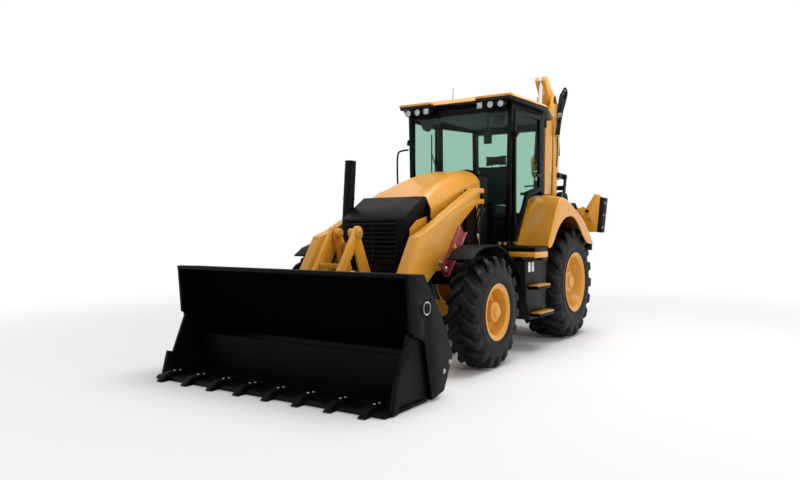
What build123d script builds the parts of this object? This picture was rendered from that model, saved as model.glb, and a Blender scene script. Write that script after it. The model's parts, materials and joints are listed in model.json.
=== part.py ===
"""Backhoe loader: a four-wheeled machine with a loader at the front and a backhoe at the rear.

Millimetres. +X points forward, +Y to the left, +Z up, and the ground is Z = 0.
Lengths along the machine are stated from the rear axle, and `along` turns them into X.
"""

import os
from math import cos, hypot, radians, sin

from build123d import *

# ---- driving dimensions -------------------------------------------------------------------

AXLE_X = -724                      # rear axle, so that X = 0 is half way along the machine
WHEELBASE = 2200
RUN_GAP = 6                        # between pieces that move past each other
SEAT_GAP = 0.3                     # between pieces that bear on each other
PIN_GAP = 0.05                     # all round a pin in its bore

FRONT_TYRE_R, FRONT_TYRE_W, FRONT_GAUGE = 515, 310, 1895
REAR_TYRE_R, REAR_TYRE_W, REAR_GAUGE = 655, 490, 1714
FRONT_RIM_R, REAR_RIM_R = 250, 338
KINGPIN_Y = 800

HOOD_HALF = 400                    # half width of hood and side panels
ARM_OUT, ARM_T = 600, 100          # outer face and thickness of the loader arms
ARM_MID = ARM_OUT - ARM_T / 2
LIFT_PIVOT = (1540, 1620)          # loader arms on the towers
LIFT_BASE = (1150, 800)            # lift cylinders on the frame
LIFT_EYE = (2400, 960)             # lift cylinders on the arms
HINGE = (3200, 330)                # loader bucket on the arms
LEVER_FOOT = (2840, 810)           # tilt lever on the arms' cross tube
LINK_PIN = (3420, 760)             # tilt link to bucket
TILT_BASE = (2700, 390)            # tilt cylinder on the arms
TILT_EYE = (2930, 854)             # tilt cylinder on the lever
JAW_PIN = (3693, 700)              # jaw on the bucket's side plates
BUCKET_HALF = 1203
TOOTH_COUNT, TOOTH_PITCH = 8, 296

CAB_TOP_Z = 2800

SWING_X = -1350                    # swing post's upright axis
BOOM_FOOT = (-1640, 950)
BOOM_TIP = (-1960, 3230)
STICK_END = (-2120, 1800)
STICK_NOSE = (-1720, 3500)


def along(x):
    return AXLE_X + x


def at(point):
    return (along(point[0]), point[1])


def side(y):
    """A plane for outlines seen from the side, that far to the left."""
    return Plane.XZ.offset(-y)


def plate(outline, y, thickness, radius=0, mode=Mode.ADD):
    """A flat plate of that side outline, centred on y."""
    with BuildSketch(side(y)) as face:
        with BuildLine():
            Polyline(*[at(point) for point in outline], close=True)
        make_face()
        if radius:
            fillet(face.vertices(), radius)
    extrude(face.sketch, amount=thickness / 2, both=True, mode=mode)


def block(x, y, z, mode=Mode.ADD):
    """A box from three (low, high) pairs, x from the rear axle."""
    middle = (along(sum(x) / 2), sum(y) / 2, sum(z) / 2)
    with Locations(middle):
        Box(x[1] - x[0], y[1] - y[0], z[1] - z[0], mode=mode)


def cross_pin(point, y, length, radius, mode=Mode.ADD):
    """A round bar across the machine, its middle at y."""
    x, z = at(point)
    with Locations(Plane(origin=(x, y, z), z_dir=(0, 1, 0))):
        Cylinder(radius, length, mode=mode)


def bar(start, end, radius, mode=Mode.ADD):
    """A round bar between two points (x from the rear axle, y, z)."""
    a, b = (Vector(along(p[0]), p[1], p[2]) for p in (start, end))
    with Locations(Plane(origin=(a + b) / 2, z_dir=b - a)):
        Cylinder(radius, (b - a).length, mode=mode)


def between(a, b, distance):
    """The point that far from a towards b, in the side view."""
    length = hypot(b[0] - a[0], b[1] - a[1])
    return (a[0] + (b[0] - a[0]) * distance / length, a[1] + (b[1] - a[1]) * distance / length)


def parallel(foot, base, tip):
    """The point that stands from `foot` as `tip` stands from `base`."""
    return (foot[0] + tip[0] - base[0], foot[1] + tip[1] - base[1])


def write(piece, name):
    piece.part.label = name
    export_step(piece.part, f"parts/{name}.step")


os.makedirs("parts", exist_ok=True)

APEX = parallel(LEVER_FOOT, HINGE, LINK_PIN)       # tilt lever to tilt link
# ---- wheels ---------------------------------------------------------------------------------

TYRE_SIDES = 32                    # flats round each carcass
LUG_H = 28                         # how far the lugs stand out of the carcass
LUG_SLANT = 38                     # degrees


def wheel_plane(x, y, z):
    """A plane at the wheel's centre whose +Z points along the axle to the left."""
    return Plane(origin=(along(x), y, z), x_dir=(1, 0, 0), z_dir=(0, 1, 0))


def tyre(name, centre, radius, width, rim_r, lugs, lug_w):
    """A lugged tyre: tapered walls and a flat tread, with slanted bars across each half."""
    base_r = radius - LUG_H
    half = width / 2
    with BuildPart(wheel_plane(*centre)) as piece:
        sections = ((-half, 0.80), (-half * 0.7, 1), (half * 0.7, 1), (half, 0.80))
        for (low, low_share), (high, high_share) in zip(sections, sections[1:]):
            for level, share in ((low, low_share), (high, high_share)):
                with BuildSketch(wheel_plane(*centre).offset(level)):
                    RegularPolygon(base_r * share, TYRE_SIDES)
            loft(ruled=True)
        lean = radians(LUG_SLANT)
        reach = half * 0.49 * sin(lean) + lug_w / 2 * cos(lean)
        top_r = (radius**2 - reach**2) ** 0.5
        for half_side in (-1, 1):
            start = 180 / lugs if half_side > 0 else 0
            with PolarLocations(top_r - LUG_H, lugs, start_angle=start):
                with Locations((0, 0, half_side * half * 0.5)):
                    Box(LUG_H * 2, lug_w, half * 0.98, rotation=(half_side * LUG_SLANT, 0, 0))
        Cylinder(rim_r + SEAT_GAP, width * 2, mode=Mode.SUBTRACT)
    write(piece, name)
    return piece


def rim(name, centre, out, tyre_w, rim_r, disc_in, hub_r, bore_r):
    """A wheel rim: barrel inside the tyre's bead, dished disc and a hub that stands out of it."""
    half = tyre_w / 2 - 12
    wall = 14
    with BuildPart(wheel_plane(*centre)) as piece:
        with BuildSketch(Plane(origin=(along(centre[0]), centre[1], centre[2]),
                               x_dir=(1, 0, 0), z_dir=(0, 0, 1))):
            with BuildLine():
                disc = half - disc_in
                Polyline(
                    (bore_r, out * (disc - 60)), (rim_r - wall, out * (disc - 60)),
                    (rim_r - wall, -out * half), (rim_r, -out * half), (rim_r, out * half),
                    (rim_r - wall * 1.8, out * half), (rim_r - wall * 2.6, out * disc),
                    (hub_r * 1.5, out * (disc - 30)), (hub_r, out * (disc + 70)),
                    (bore_r, out * (disc + 70)), close=True)
            make_face()
        revolve(axis=Axis((along(centre[0]), centre[1], centre[2]), (0, 1, 0)))
    write(piece, name)
    return piece


def mirrored(piece, name):
    """The same piece on the right-hand side."""
    with BuildPart() as other:
        add(mirror(piece.part, about=Plane.XZ, mode=Mode.PRIVATE))
    write(other, name)


WHEELS = (
    # end, x, radius, width, gauge, rim radius, lugs a side, lug width, disc depth, hub, bore
    ("front", WHEELBASE, FRONT_TYRE_R, FRONT_TYRE_W, FRONT_GAUGE, FRONT_RIM_R, 15, 38, 95, 95, 60),
    ("rear", 0, REAR_TYRE_R, REAR_TYRE_W, REAR_GAUGE, REAR_RIM_R, 15, 54, 120, 130, 80),
)
for end, x, radius, width, gauge, rim_r, lugs, lug_w, disc_in, hub_r, bore_r in WHEELS:
    centre = (x, gauge / 2, radius)
    mirrored(tyre(f"{end}_tyre_left", centre, radius, width, rim_r, lugs, lug_w),
             f"{end}_tyre_right")
    mirrored(rim(f"{end}_rim_left", centre, 1, width, rim_r, disc_in, hub_r, bore_r),
             f"{end}_rim_right")


def both_sides(piece):
    """Adds the mirror image on the right-hand side to the piece being built."""
    add(mirror(piece.part, about=Plane.XZ, mode=Mode.PRIVATE))


def upright(outline, x, thickness, mode=Mode.ADD):
    """A plate square to the machine's length, its outline seen from the front."""
    with BuildSketch(Plane.YZ.offset(along(x))) as face:
        with BuildLine():
            Polyline(*outline, close=True)
        make_face()
    extrude(face.sketch, amount=thickness / 2, both=True, mode=mode)


def long_pin(point, x, length, radius, mode=Mode.ADD):
    """A round bar along the machine at a point seen from the front."""
    with Locations(Plane(origin=(along(x), point[0], point[1]), z_dir=(1, 0, 0))):
        Cylinder(radius, length, mode=mode)


# ---- chassis: frame, axles, engine ------------------------------------------------------------

SHELL_T = 12                       # sheet of hood and side panels
EYE_R, EYE_PIN_R = 45, 22          # eyes of the cylinders and their pins

RAIL_Y, RAIL_T = 325, 50           # middle and thickness of the frame rails
RAIL_Z = (780, 940)
AXLE_Z = FRONT_TYRE_R
BOLSTER_Z = 620                    # underside of the cross member over the front axle
TOWER_Y, TOWER_T = 465, 50
SWING_EAR_Z = ((560, 620), (1050, 1110))
STAB_FOOT = (430, 640)             # stabiliser hinge: distance to the side, height
LEG_X, LEG_T = -970, 58            # stabiliser legs: middle and thickness
STAB_BASE = (250, 1040)            # stabiliser cylinder on the frame: to the side, height

NOSE_BOLT_YS, NOSE_BOLT_ZS, NOSE_BOLT_R = (-260, 260), (640, 860), 9
TIE_BORE, TIE_BORE_R = (525, 545), 25      # lashing holes in the rear plate

with BuildPart() as main_frame:
    for hand in (-1, 1):
        plate(((-1180, 640), (-1180, 1000), (-900, RAIL_Z[1]), (2560, RAIL_Z[1]),
               (2560, RAIL_Z[0]), (-700, RAIL_Z[0])), hand * RAIL_Y, RAIL_T)
        plate(((1330, 700), (1700, 700), (1640, 1300), (1610, 1690), (1470, 1690), (1390, 1300)),
              hand * TOWER_Y, TOWER_T)
        cross_pin(LIFT_PIVOT, hand * (TOWER_Y + 75), ARM_T * 2 - 10, 32)
        plate(((1090, 745), (1090, 860), (1340, 860), (1340, 745)), hand * TOWER_Y, TOWER_T)
        cross_pin(LIFT_BASE, hand * (TOWER_Y + 60), 125, EYE_PIN_R)
        for x in (1880, 2140):
            block((x, x + 50), sorted((hand * 340, hand * (HOOD_HALF - SHELL_T - SEAT_GAP))),
                  (880, 1010))
        block((1240, 1700), sorted((hand * 345, hand * 490)), (700, 780))
    block((1330, 1700), (-350, 350), (700, 780))
    block((2480, 2560), (-350, 350), (560, 940))
    block((2120, 2280), (-350, 350), (BOLSTER_Z, RAIL_Z[0]))
    block((LEG_X - LEG_T / 2 - RUN_GAP - 30, LEG_X - LEG_T / 2 - RUN_GAP), (-560, 560),
          (500, 1110))
    for hand in (-1, 1):
        long_pin((hand * STAB_FOOT[0], STAB_FOOT[1]), LEG_X, 2 * (LEG_T / 2 + 20), 30)
        long_pin((hand * STAB_BASE[0], STAB_BASE[1]), LEG_X + 30, 140, 22)
    for low, high in SWING_EAR_Z:
        block((SWING_X - 80, -1030), (-100, 100), (low, high))
        with Locations((along(SWING_X), 0, (low + high) / 2)):
            Cylinder(60 + PIN_GAP, high - low, mode=Mode.SUBTRACT)
    for y, z in [(y, z) for y in NOSE_BOLT_YS for z in NOSE_BOLT_ZS]:
        long_pin((y, z), 2520, 200, NOSE_BOLT_R, mode=Mode.SUBTRACT)
    for hand in (-1, 1):
        long_pin((hand * TIE_BORE[0], TIE_BORE[1]), LEG_X, 200, TIE_BORE_R, mode=Mode.SUBTRACT)
write(main_frame, "main_frame")

with BuildPart() as engine:
    block((1260, 2060), (-240, 240), (780 + SEAT_GAP, 1420))
    block((1340, 1900), (-180, 180), (1420, 1560))
    block((2440, 2560), (-300, 300), (940 + SEAT_GAP, 1380))
write(engine, "engine")

with BuildPart() as axles:
    block((2110, 2290), (-170, 170), (AXLE_Z - 125, BOLSTER_Z - SEAT_GAP))
    for hand in (-1, 1):
        with BuildSketch(Plane.XZ.offset(-hand * 170)):
            with Locations((along(2200), AXLE_Z)):
                Rectangle(150, 180)
        with BuildSketch(Plane.XZ.offset(-hand * 700)):
            with Locations((along(2200), AXLE_Z)):
                Rectangle(100, 110)
        loft(ruled=True)
        for low, high in ((-145, -85), (85, 145)):
            block((2150, 2250), sorted((hand * 690, hand * (KINGPIN_Y + 45))),
                  (AXLE_Z + low, AXLE_Z + high))
            block((2150, 2250), sorted((hand * 650, hand * 700)), (AXLE_Z - 145, AXLE_Z + 145))
        with Locations((along(2200), hand * KINGPIN_Y, AXLE_Z)):
            Cylinder(24 + PIN_GAP, 300, mode=Mode.SUBTRACT)
    cross_pin((0, REAR_TYRE_R), 0, 2 * (REAR_GAUGE / 2 - 60), 100)
    cross_pin((0, REAR_TYRE_R), 0, 420, 124)
    for hand in (-1, 1):
        cross_pin((0, REAR_TYRE_R), hand * (REAR_GAUGE / 2 + 10), 240, 80 - PIN_GAP)
write(axles, "axles")

with BuildPart() as knuckle_left:
    block((2160, 2240), (KINGPIN_Y - 20, KINGPIN_Y + 60),
          (AXLE_Z - 85 + RUN_GAP, AXLE_Z + 85 - RUN_GAP))
    with Locations((along(2200), KINGPIN_Y, AXLE_Z)):
        Cylinder(24, 250)
    cross_pin((2200, AXLE_Z), KINGPIN_Y + 130, 200, 60 - PIN_GAP)
write(knuckle_left, "knuckle_left")
mirrored(knuckle_left, "knuckle_right")

# ---- nose, hood and side panels -----------------------------------------------------------------

NOSE_HALF = 352
HOOD_HINGE = (1185, 1900)


def hood_section(x, seam_z, shoulder_z, crown_half, crown_z, inside=0):
    """A section across the hood, flat below, moved in by `inside` all round."""
    half = HOOD_HALF - inside
    with BuildSketch(Plane.YZ.offset(along(x))) as section:
        with BuildLine():
            Polyline((-half, seam_z - 2 * inside), (-half, shoulder_z - inside / 2),
                     (-crown_half + inside / 2, crown_z - inside),
                     (crown_half - inside / 2, crown_z - inside),
                     (half, shoulder_z - inside / 2), (half, seam_z - 2 * inside), close=True)
        make_face()
    return section.sketch


HOOD_SECTIONS = (
    # x, seam height, shoulder height, crown half width, crown height
    (2225, 1365, 1490, 330, 1600),
    (1850, 1390, 1600, 260, 1760),
    (1160, 1510, 1775, 230, 1940),
)
with BuildPart() as hood:
    loft([hood_section(*section) for section in HOOD_SECTIONS], ruled=True)
    loft([hood_section(*section, SHELL_T) for section in HOOD_SECTIONS], ruled=True,
         mode=Mode.SUBTRACT)
    for hand in (-1, 1):
        plate(((1168, 1932), (1202, 1930), (1206, 1884), (1168, 1880)), hand * 170, 12)
        cross_pin(HOOD_HINGE, hand * 170, 40, 12 + PIN_GAP, mode=Mode.SUBTRACT)
write(hood, "hood")

with BuildPart() as side_panels:
    for hand in (-1, 1):
        plate(((2225, 950), (2225, 1360), (1850, 1385), (1160, 1504), (1160, 1110), (1720, 950)),
              hand * (HOOD_HALF - SHELL_T / 2), SHELL_T)
write(side_panels, "side_panels")

with BuildPart() as nose_cover:
    foot = RAIL_Z[1] + SEAT_GAP
    outline = ((2230, foot), (2230, 1585), (2290, 1592), (2590, 1410), (2640, 1370), (2650, foot))
    plate(outline, 0, 2 * NOSE_HALF)
    plate(((2200, 900), (2200, 1565), (2290, 1572), (2576, 1398), (2610, 1350), (2610, 900)),
          0, 2 * 338, mode=Mode.SUBTRACT)
    block((2560, 2700), (-290, 290), (900, 1350), mode=Mode.SUBTRACT)
    for y in (-275, 0, 275):
        block((2612, 2640), (y - 12, y + 12), (950, 1350))
    for row in range(8):
        z = 990 + row * 48
        plate(((2600, z), (2600, z + 8), (2646, z - 12), (2646, z - 20)), 0, 2 * 292)
write(nose_cover, "nose_cover")

STACK = ((2478, 1160), (2413, 1962))     # foot and mouth of the stack, leaning back
STACK_Y, STACK_R = -428, 58
with BuildPart() as exhaust_stack:
    block((2400, 2540), (-490, -NOSE_HALF - SEAT_GAP), (1100, 1180))
    bar(*((x, STACK_Y, z) for x, z in STACK), STACK_R)
write(exhaust_stack, "exhaust_stack")

# ---- platform, tanks, steps and fenders -----------------------------------------------------------

PLATFORM_Z = (1040, 1095)
TANK_IN, TANK_OUT = 610, 1010
WALL_OUT = 590                     # outer face of the cab's lower walls, inside the tyres
STEPS = ((910, 1270, 690), (800, 1210, 400))      # rear end, front end and top of each tread
with BuildPart() as platform:
    block((-560, 1150), (-WALL_OUT, WALL_OUT), (1000, PLATFORM_Z[1]))
    block((-560, 1150), (-350, 350), (RAIL_Z[1] + SEAT_GAP, 1000))
    for hand in (-1, 1):
        plate(((1420, 1055), (1420, 1095), (1060, 1095), (1060, 950), (1190, 950)),
              hand * 1090, 100)
        block((720, 1230), sorted((hand * 430, hand * 720)), (1000, PLATFORM_Z[1]))
        block((1060, 1420), sorted((hand * 700, hand * 1045)), (1060, PLATFORM_Z[1]))
    for hand in (-1, 1):
        for rear, front, top in STEPS:
            block((rear, front), sorted((hand * (TANK_OUT + SEAT_GAP), hand * 1115)),
                  (top - 38, top))
write(platform, "platform")

with BuildPart() as tanks:
    for hand in (-1, 1):
        plate(((780, 330), (740, 960), (1360, 960), (1330, 560), (1230, 330)),
              hand * (TANK_OUT + TANK_IN) / 2, TANK_OUT - TANK_IN, radius=30)
        block((800, 1060), sorted((hand * (350 + SEAT_GAP), hand * (TANK_IN + 5))), (790, 900))
    for hand in (-1, 1):
        block((760, 1180), sorted((hand * 640, hand * 900)), (955, 1000 - SEAT_GAP))
write(tanks, "tanks")

FENDER_IN, FENDER_MID, FENDER_OUT, FENDER_T = WALL_OUT + SEAT_GAP, 735, 1150, 12
# The fender's crown in the side view, at the cab and at its outer edge.
CROWN_IN = ((760, 1096), (520, 1390), (310, 1610), (60, 1700), (-120, 1700), (-300, 1600),
            (-490, 1340), (-550, 1096))
CROWN_OUT = ((1045, 1096), (900, 1330), (760, 1560), (600, 1640), (350, 1600), (110, 1510),
             (-200, 1410), (-550, 1096))
ARCH = ((1045, 1050), (930, 1050), (830, 1190), (660, 1330), (500, 1415), (170, 1435),
        (-60, 1250), (-180, 1050))


def fender_skin(inside, inner_y, middle_y, outer_y, mode=Mode.ADD):
    """The fender's body between three upright outlines, each moved in by `inside`."""
    faces = []
    for crown, y in ((CROWN_IN, inner_y), (CROWN_IN, middle_y), (CROWN_OUT, outer_y)):
        low = crown[0][1] - 3 * inside
        points = [(x - inside if x > 0 else x + inside, z - inside) for x, z in crown[1:-1]]
        points = [(crown[0][0] - inside, low), *points, (crown[-1][0] + inside, low)]
        with BuildSketch(side(y)) as face:
            with BuildLine():
                Polyline(*[at(point) for point in points], close=True)
            make_face()
        faces.append(face.sketch)
    loft(faces, ruled=True, mode=mode)


with BuildPart() as fender_left:
    fender_skin(0, FENDER_IN, FENDER_MID, FENDER_OUT)
    fender_skin(FENDER_T, FENDER_IN + FENDER_T, FENDER_MID, FENDER_OUT - FENDER_T,
                mode=Mode.SUBTRACT)
    plate(ARCH, FENDER_OUT, 6 * FENDER_T, mode=Mode.SUBTRACT)
with BuildPart() as rear_fenders:
    add(fender_left.part)
    both_sides(fender_left)
write(rear_fenders, "rear_fenders")

FLAP = ((2590, 1010), (2470, 1085), (2330, 1125), (2080, 1130), (1900, 1090), (1700, 985),
        (1545, 840), (1505, 700))
with BuildPart() as front_fenders:
    inner = [(x, z - 14) for x, z in FLAP]
    for hand in (-1, 1):
        plate(FLAP + tuple(reversed(inner)), hand * 900, 250)
        block((1500, 1530), sorted((hand * (TOWER_Y + 100), hand * 800)), (705, 760))
        block((1500, 1530), sorted((hand * (TOWER_Y + TOWER_T / 2), hand * 570)), (705, 745))
write(front_fenders, "front_fenders")

# ---- loader ---------------------------------------------------------------------------------------

EAR_T = 22
SLOT = 30                          # half width of the gaps that rod eyes stand in
ARM_OUTLINE = (
    (1470, 1700), (1620, 1700), (2610, 1262), (2790, 1205), (2990, 900), (3250, 385),
    (3262, 330), (3225, 262), (3155, 275), (3090, 330), (2870, 640), (2640, 790), (2480, 890), (2330, 890),
    (2240, 1040), (1990, 1330), (1640, 1540), (1470, 1540),
)
CROSS_TUBE = (2717, 790)

with BuildPart() as loader_arms:
    for hand in (-1, 1):
        plate(ARM_OUTLINE, hand * ARM_MID, ARM_T, radius=18)
        cross_pin(LIFT_PIVOT, hand * ARM_MID, ARM_T * 2, 32 + PIN_GAP, mode=Mode.SUBTRACT)
        plate(((2130, 800), (2130, 1160), (2200, 1200), (2640, 1050), (2640, 800)),
              hand * ARM_MID, 2 * SLOT, mode=Mode.SUBTRACT)
        for y in (ARM_MID - SLOT - 10, ARM_MID + SLOT + 10):
            cross_pin(LIFT_EYE, hand * y, 20, 40)
        cross_pin(HINGE, hand * ARM_MID, ARM_T, 75)
        cross_pin(HINGE, hand * ARM_MID, ARM_T * 2, 32 + PIN_GAP, mode=Mode.SUBTRACT)
    cross_pin(CROSS_TUBE, 0, 2 * (ARM_OUT - ARM_T) + 10, 65)
    for hand in (-1, 1):
        plate(((2680, 740), (2690, 850), (2800, 872), (2860, 862), (2895, 810), (2860, 755)),
              hand * 130, 20)
        cross_pin(LEVER_FOOT, hand * 112, 56, 24)
        plate(((2655, 760), (2780, 760), (2748, 375), (2710, 345), (2655, 375)), hand * 58, 20)
    cross_pin(TILT_BASE, 0, 136, EYE_PIN_R)
write(loader_arms, "loader_arms")

LEVER_Y, LINK_Y = 100, 132         # middles of the lever's and the link's plates
with BuildPart() as tilt_lever:
    for hand in (-1, 1):
        plate(((2800, 800), (2815, 860), (3015, 1275), (3090, 1275), (3105, 1205), (2985, 880),
               (2960, 820), (2895, 792), (2850, 765), (2810, 775)), hand * LEVER_Y, 20, radius=8)
        cross_pin(APEX, hand * 82, 56, 40)
        cross_pin(TILT_EYE, hand * 61, 66, 34)
        cross_pin(LEVER_FOOT, hand * LEVER_Y, 50, 24 + PIN_GAP, mode=Mode.SUBTRACT)
    block((2960, 2990), (-95, 95), (1080, 1150))
write(tilt_lever, "tilt_lever")

with BuildPart() as tilt_link:
    for hand in (-1, 1):
        cross_pin(APEX, hand * LINK_Y, 30, 62)
        cross_pin(LINK_PIN, hand * LINK_Y, 30, 50)
        plate(((3010, 1222), (3060, 1300), (3115, 1270), (3300, 985), (3463, 785), (3382, 728),
               (3235, 925)),
              hand * LINK_Y, 30)
        cross_pin(LINK_PIN, hand * LINK_Y, 60, 24 + PIN_GAP, mode=Mode.SUBTRACT)
    block((3255, 3285), (-LINK_Y, LINK_Y), (930, 975))
write(tilt_link, "tilt_link")

MOULD = ((3924, 952), (3712, 945), (3595, 803), (3448, 621), (3276, 301), (3413, 51),
         (3593, 15), (3610, 90), (3703, 460), (3888, 546))
PLATE_T = 24
with BuildPart() as bucket:
    for hand in (-1, 1):
        plate(MOULD, hand * (BUCKET_HALF - PLATE_T / 2), PLATE_T, radius=12)
        cross_pin(JAW_PIN, hand * BUCKET_HALF, 100, 40 + PIN_GAP, mode=Mode.SUBTRACT)
    wide = 2 * BUCKET_HALF - 20
    plate(((3924, 952), (3712, 945), (3595, 803), (3448, 621), (3380, 520), (3410, 505),
           (3475, 607), (3620, 788), (3722, 905), (3800, 925), (3924, 925)), 0, wide)
    plate(((3380, 520), (3276, 301), (3413, 51), (3593, 15), (3598, 45), (3430, 80),
           (3312, 303), (3410, 505)), 0, wide)
    for y in (-LINK_Y - 36, -LINK_Y + 36, LINK_Y - 36, LINK_Y + 36):
        plate(((3380, 700), (3380, 800), (3440, 830), (3630, 830), (3480, 640)), y, 30)
    for hand in (-1, 1):
        cross_pin(LINK_PIN, hand * LINK_Y, 100, 24)
        for y in (ARM_OUT + 22, ARM_OUT - ARM_T - 22):
            plate(((3130, 290), (3150, 400), (3240, 420), (3375, 460), (3300, 301), (3355, 190)),
                  hand * y, 28)
        cross_pin(HINGE, hand * ARM_MID, ARM_T + 100, 32)
write(bucket, "loader_bucket")

JAW_HALF = BUCKET_HALF - PLATE_T - RUN_GAP
with BuildPart() as jaw:
    for hand in (-1, 1):
        y = hand * (JAW_HALF - PLATE_T / 2)
        plate(((3620, 330), (3655, 700), (3690, 745), (3735, 730), (3760, 520), (3874, 530),
               (4095, 6), (3615, 6), (3608, 60)), y, PLATE_T)
        plate(((4040, 6), (4000, 210), (4052, 222), (4110, 6)), hand * (JAW_HALF + 4), 32)
        cross_pin(JAW_PIN, hand * (BUCKET_HALF - 10), 60, 40)
    floor = ((3640, 330), (3610, 60), (3615, 6), (4160, 0), (4180, 8), (4150, 36), (3700, 40),
             (3640, 70), (3668, 330))
    plate(floor, 0, 2 * JAW_HALF - 2)
    first = -(TOOTH_COUNT - 1) / 2
    for index in range(TOOTH_COUNT):
        plate(((4060, 36), (4130, 78), (4185, 62), (4258, 6), (4240, 0), (4120, 2)),
              (first + index) * TOOTH_PITCH, 56)
write(jaw, "bucket_jaw")


def cylinder_pair(name, base, eye, y, barrel_r, rod_r, barrel, inner, eye_w=2 * SLOT - 10):
    """A hydraulic cylinder in the side view, barrel and rod.

    `barrel` is how far the barrel reaches from its base pin, and `inner` is how far from that
    pin the rod's hidden end stands.
    """
    mouth = between(base, eye, barrel)
    with BuildPart() as tube:
        for hand in (-1, 1) if y else (1,):
            start = between(base, eye, EYE_R * 0.6)
            bar((start[0], hand * y, start[1]), (mouth[0], hand * y, mouth[1]), barrel_r)
            cross_pin(base, hand * y, eye_w, EYE_R)
            deep = between(base, eye, EYE_R * 1.3)
            bar((deep[0], hand * y, deep[1]), (mouth[0], hand * y, mouth[1]), rod_r + 0.1,
                mode=Mode.SUBTRACT)
            cross_pin(base, hand * y, eye_w * 2, EYE_PIN_R + PIN_GAP, mode=Mode.SUBTRACT)
    write(tube, f"{name}_barrel")
    with BuildPart() as rod:
        for hand in (-1, 1) if y else (1,):
            deep = between(base, eye, inner)
            tip = between(eye, base, EYE_R * 0.6)
            bar((deep[0], hand * y, deep[1]), (tip[0], hand * y, tip[1]), rod_r)
            cross_pin(eye, hand * y, eye_w, EYE_R)
    write(rod, f"{name}_rod")


cylinder_pair("lift", LIFT_BASE, LIFT_EYE, ARM_MID, 45, 26, barrel=980, inner=75)
cylinder_pair("tilt", TILT_BASE, TILT_EYE, 0, 42, 26, barrel=295, inner=228, eye_w=48)

# ---- cab --------------------------------------------------------------------------------------------

# Posts: x, y at the foot, y at the head, depth and width of the section.
POSTS = {"A": (890, 610, 650, 60, 46), "B": (90, 690, 700, 70, 44), "C": (-500, 470, 480, 70, 60)}
FLOOR_Z, HEAD_Z = PLATFORM_Z[1] + SEAT_GAP, 2690
SILL_Z, WAIST_Z = 1700 + SEAT_GAP, 1730
DOOR_HINGE, DOOR_HINGE_ZS = (872, 700), (1250, 2300)


def post(name, hand, foot_z):
    x, foot_y, head_y, depth, width = POSTS[name]
    faces = []
    for y, z in ((foot_y, foot_z), (head_y, HEAD_Z)):
        with BuildSketch(Plane.XY.offset(z)) as face:
            with Locations((along(x), hand * y)):
                Rectangle(depth, width)
        faces.append(face.sketch)
    loft(faces, ruled=True)


def span(first, second, z_low, z_high, thickness, inset=0, hand=1, mode=Mode.ADD, end_gap=0):
    """An upright panel between two posts, its middle `inset` inside the line of their heads."""
    a, b = (Vector(along(POSTS[n][0]), hand * POSTS[n][2]) for n in (first, second))
    run = b - a
    with Locations(Plane(origin=(a + b) / 2 + Vector(0, 0, (z_low + z_high) / 2),
                         x_dir=run, z_dir=(0, 0, 1))):
        with Locations((0, -hand * inset * (-1 if run.X < 0 else 1), 0)):
            Box(run.length - 2 * end_gap, thickness, z_high - z_low, mode=mode)


with BuildPart() as cab_frame:
    for hand in (-1, 1):
        for name, foot_z in (("A", FLOOR_Z), ("B", SILL_Z), ("C", SILL_Z)):
            post(name, hand, foot_z)
        plate(((760, FLOOR_Z), (520, 1390), (310, 1610), (125, WAIST_Z), (-530, WAIST_Z),
               (-530, FLOOR_Z)), hand * (WALL_OUT - 15), 30)
        block((-530, 125), sorted((hand * 440, hand * WALL_OUT)), (SILL_Z, WAIST_Z))
        span("B", "C", SILL_Z, WAIST_Z, 44, hand=hand)
        for z in DOOR_HINGE_ZS:
            block((860, 890), sorted((hand * 630, hand * 716)), (z, z + 30))
            with Locations((along(DOOR_HINGE[0]), hand * DOOR_HINGE[1], z + 34)):
                Cylinder(8, 66)
        span("A", "B", 2645, HEAD_Z, 44, hand=hand)
        span("B", "C", 2600, HEAD_Z, 44, hand=hand)
    block((865, 915), (-650, 650), (2600, HEAD_Z))
    block((-530, -470), (-480, 480), (2560, HEAD_Z))
    block((-530, -470), (-WALL_OUT, WALL_OUT), (FLOOR_Z, 1500))
    block((880, 905), (-600, 600), (FLOOR_Z, 1160))
write(cab_frame, "cab_frame")

ROOF_PLAN = ((960, 730), (100, 790), (-560, 600))
with BuildPart() as cab_roof:
    for low, high, shrink_low, shrink_high in ((HEAD_Z + SEAT_GAP, 2740, 0, 0),
                                               (2740, CAB_TOP_Z, 0, 90)):
        faces = []
        for z, shrink in ((low, shrink_low), (high, shrink_high)):
            plan = [(x - shrink if x > 0 else x + shrink, y - shrink) for x, y in ROOF_PLAN]
            with BuildSketch(Plane.XY.offset(z)) as face:
                with BuildLine():
                    outline = plan + [(x, -y) for x, y in reversed(plan)]
                    Polyline(*[(along(x), y) for x, y in outline], close=True)
                make_face()
            faces.append(face.sketch)
        loft(faces, ruled=True)
    for hand in (-1, 1):
        block((950, 1060), sorted((hand * 290, hand * 720)), (2700, 2760))
write(cab_roof, "cab_roof")

LAMP_YS = (346, 470, 595)
with BuildPart() as work_lamps:
    for hand in (-1, 1):
        block((965, 1040), sorted((hand * 300, hand * 640)), (2640, 2700 - SEAT_GAP))
        for y in LAMP_YS:
            with Locations(Plane(origin=(along(1040), hand * y, 2655), z_dir=(1, 0, 0))):
                Cylinder(42, 40)
        block((-570, -535), sorted((hand * 380, hand * 520)), (2600, 2690 - SEAT_GAP))
write(work_lamps, "work_lamps")

GLASS_T = 8
with BuildPart() as cab_glass:
    upright(((-587, 1160 + SEAT_GAP), (-623, 2600 - SEAT_GAP), (623, 2600 - SEAT_GAP),
             (587, 1160 + SEAT_GAP)), 892, GLASS_T)
    block((-500 - GLASS_T, -500), (-438, 438), (1500 + SEAT_GAP, 2560 - SEAT_GAP))
    for hand in (-1, 1):
        span("B", "C", WAIST_Z + SEAT_GAP, 2600 - SEAT_GAP, GLASS_T, hand=hand, end_gap=62)
write(cab_glass, "cab_glass")

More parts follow.
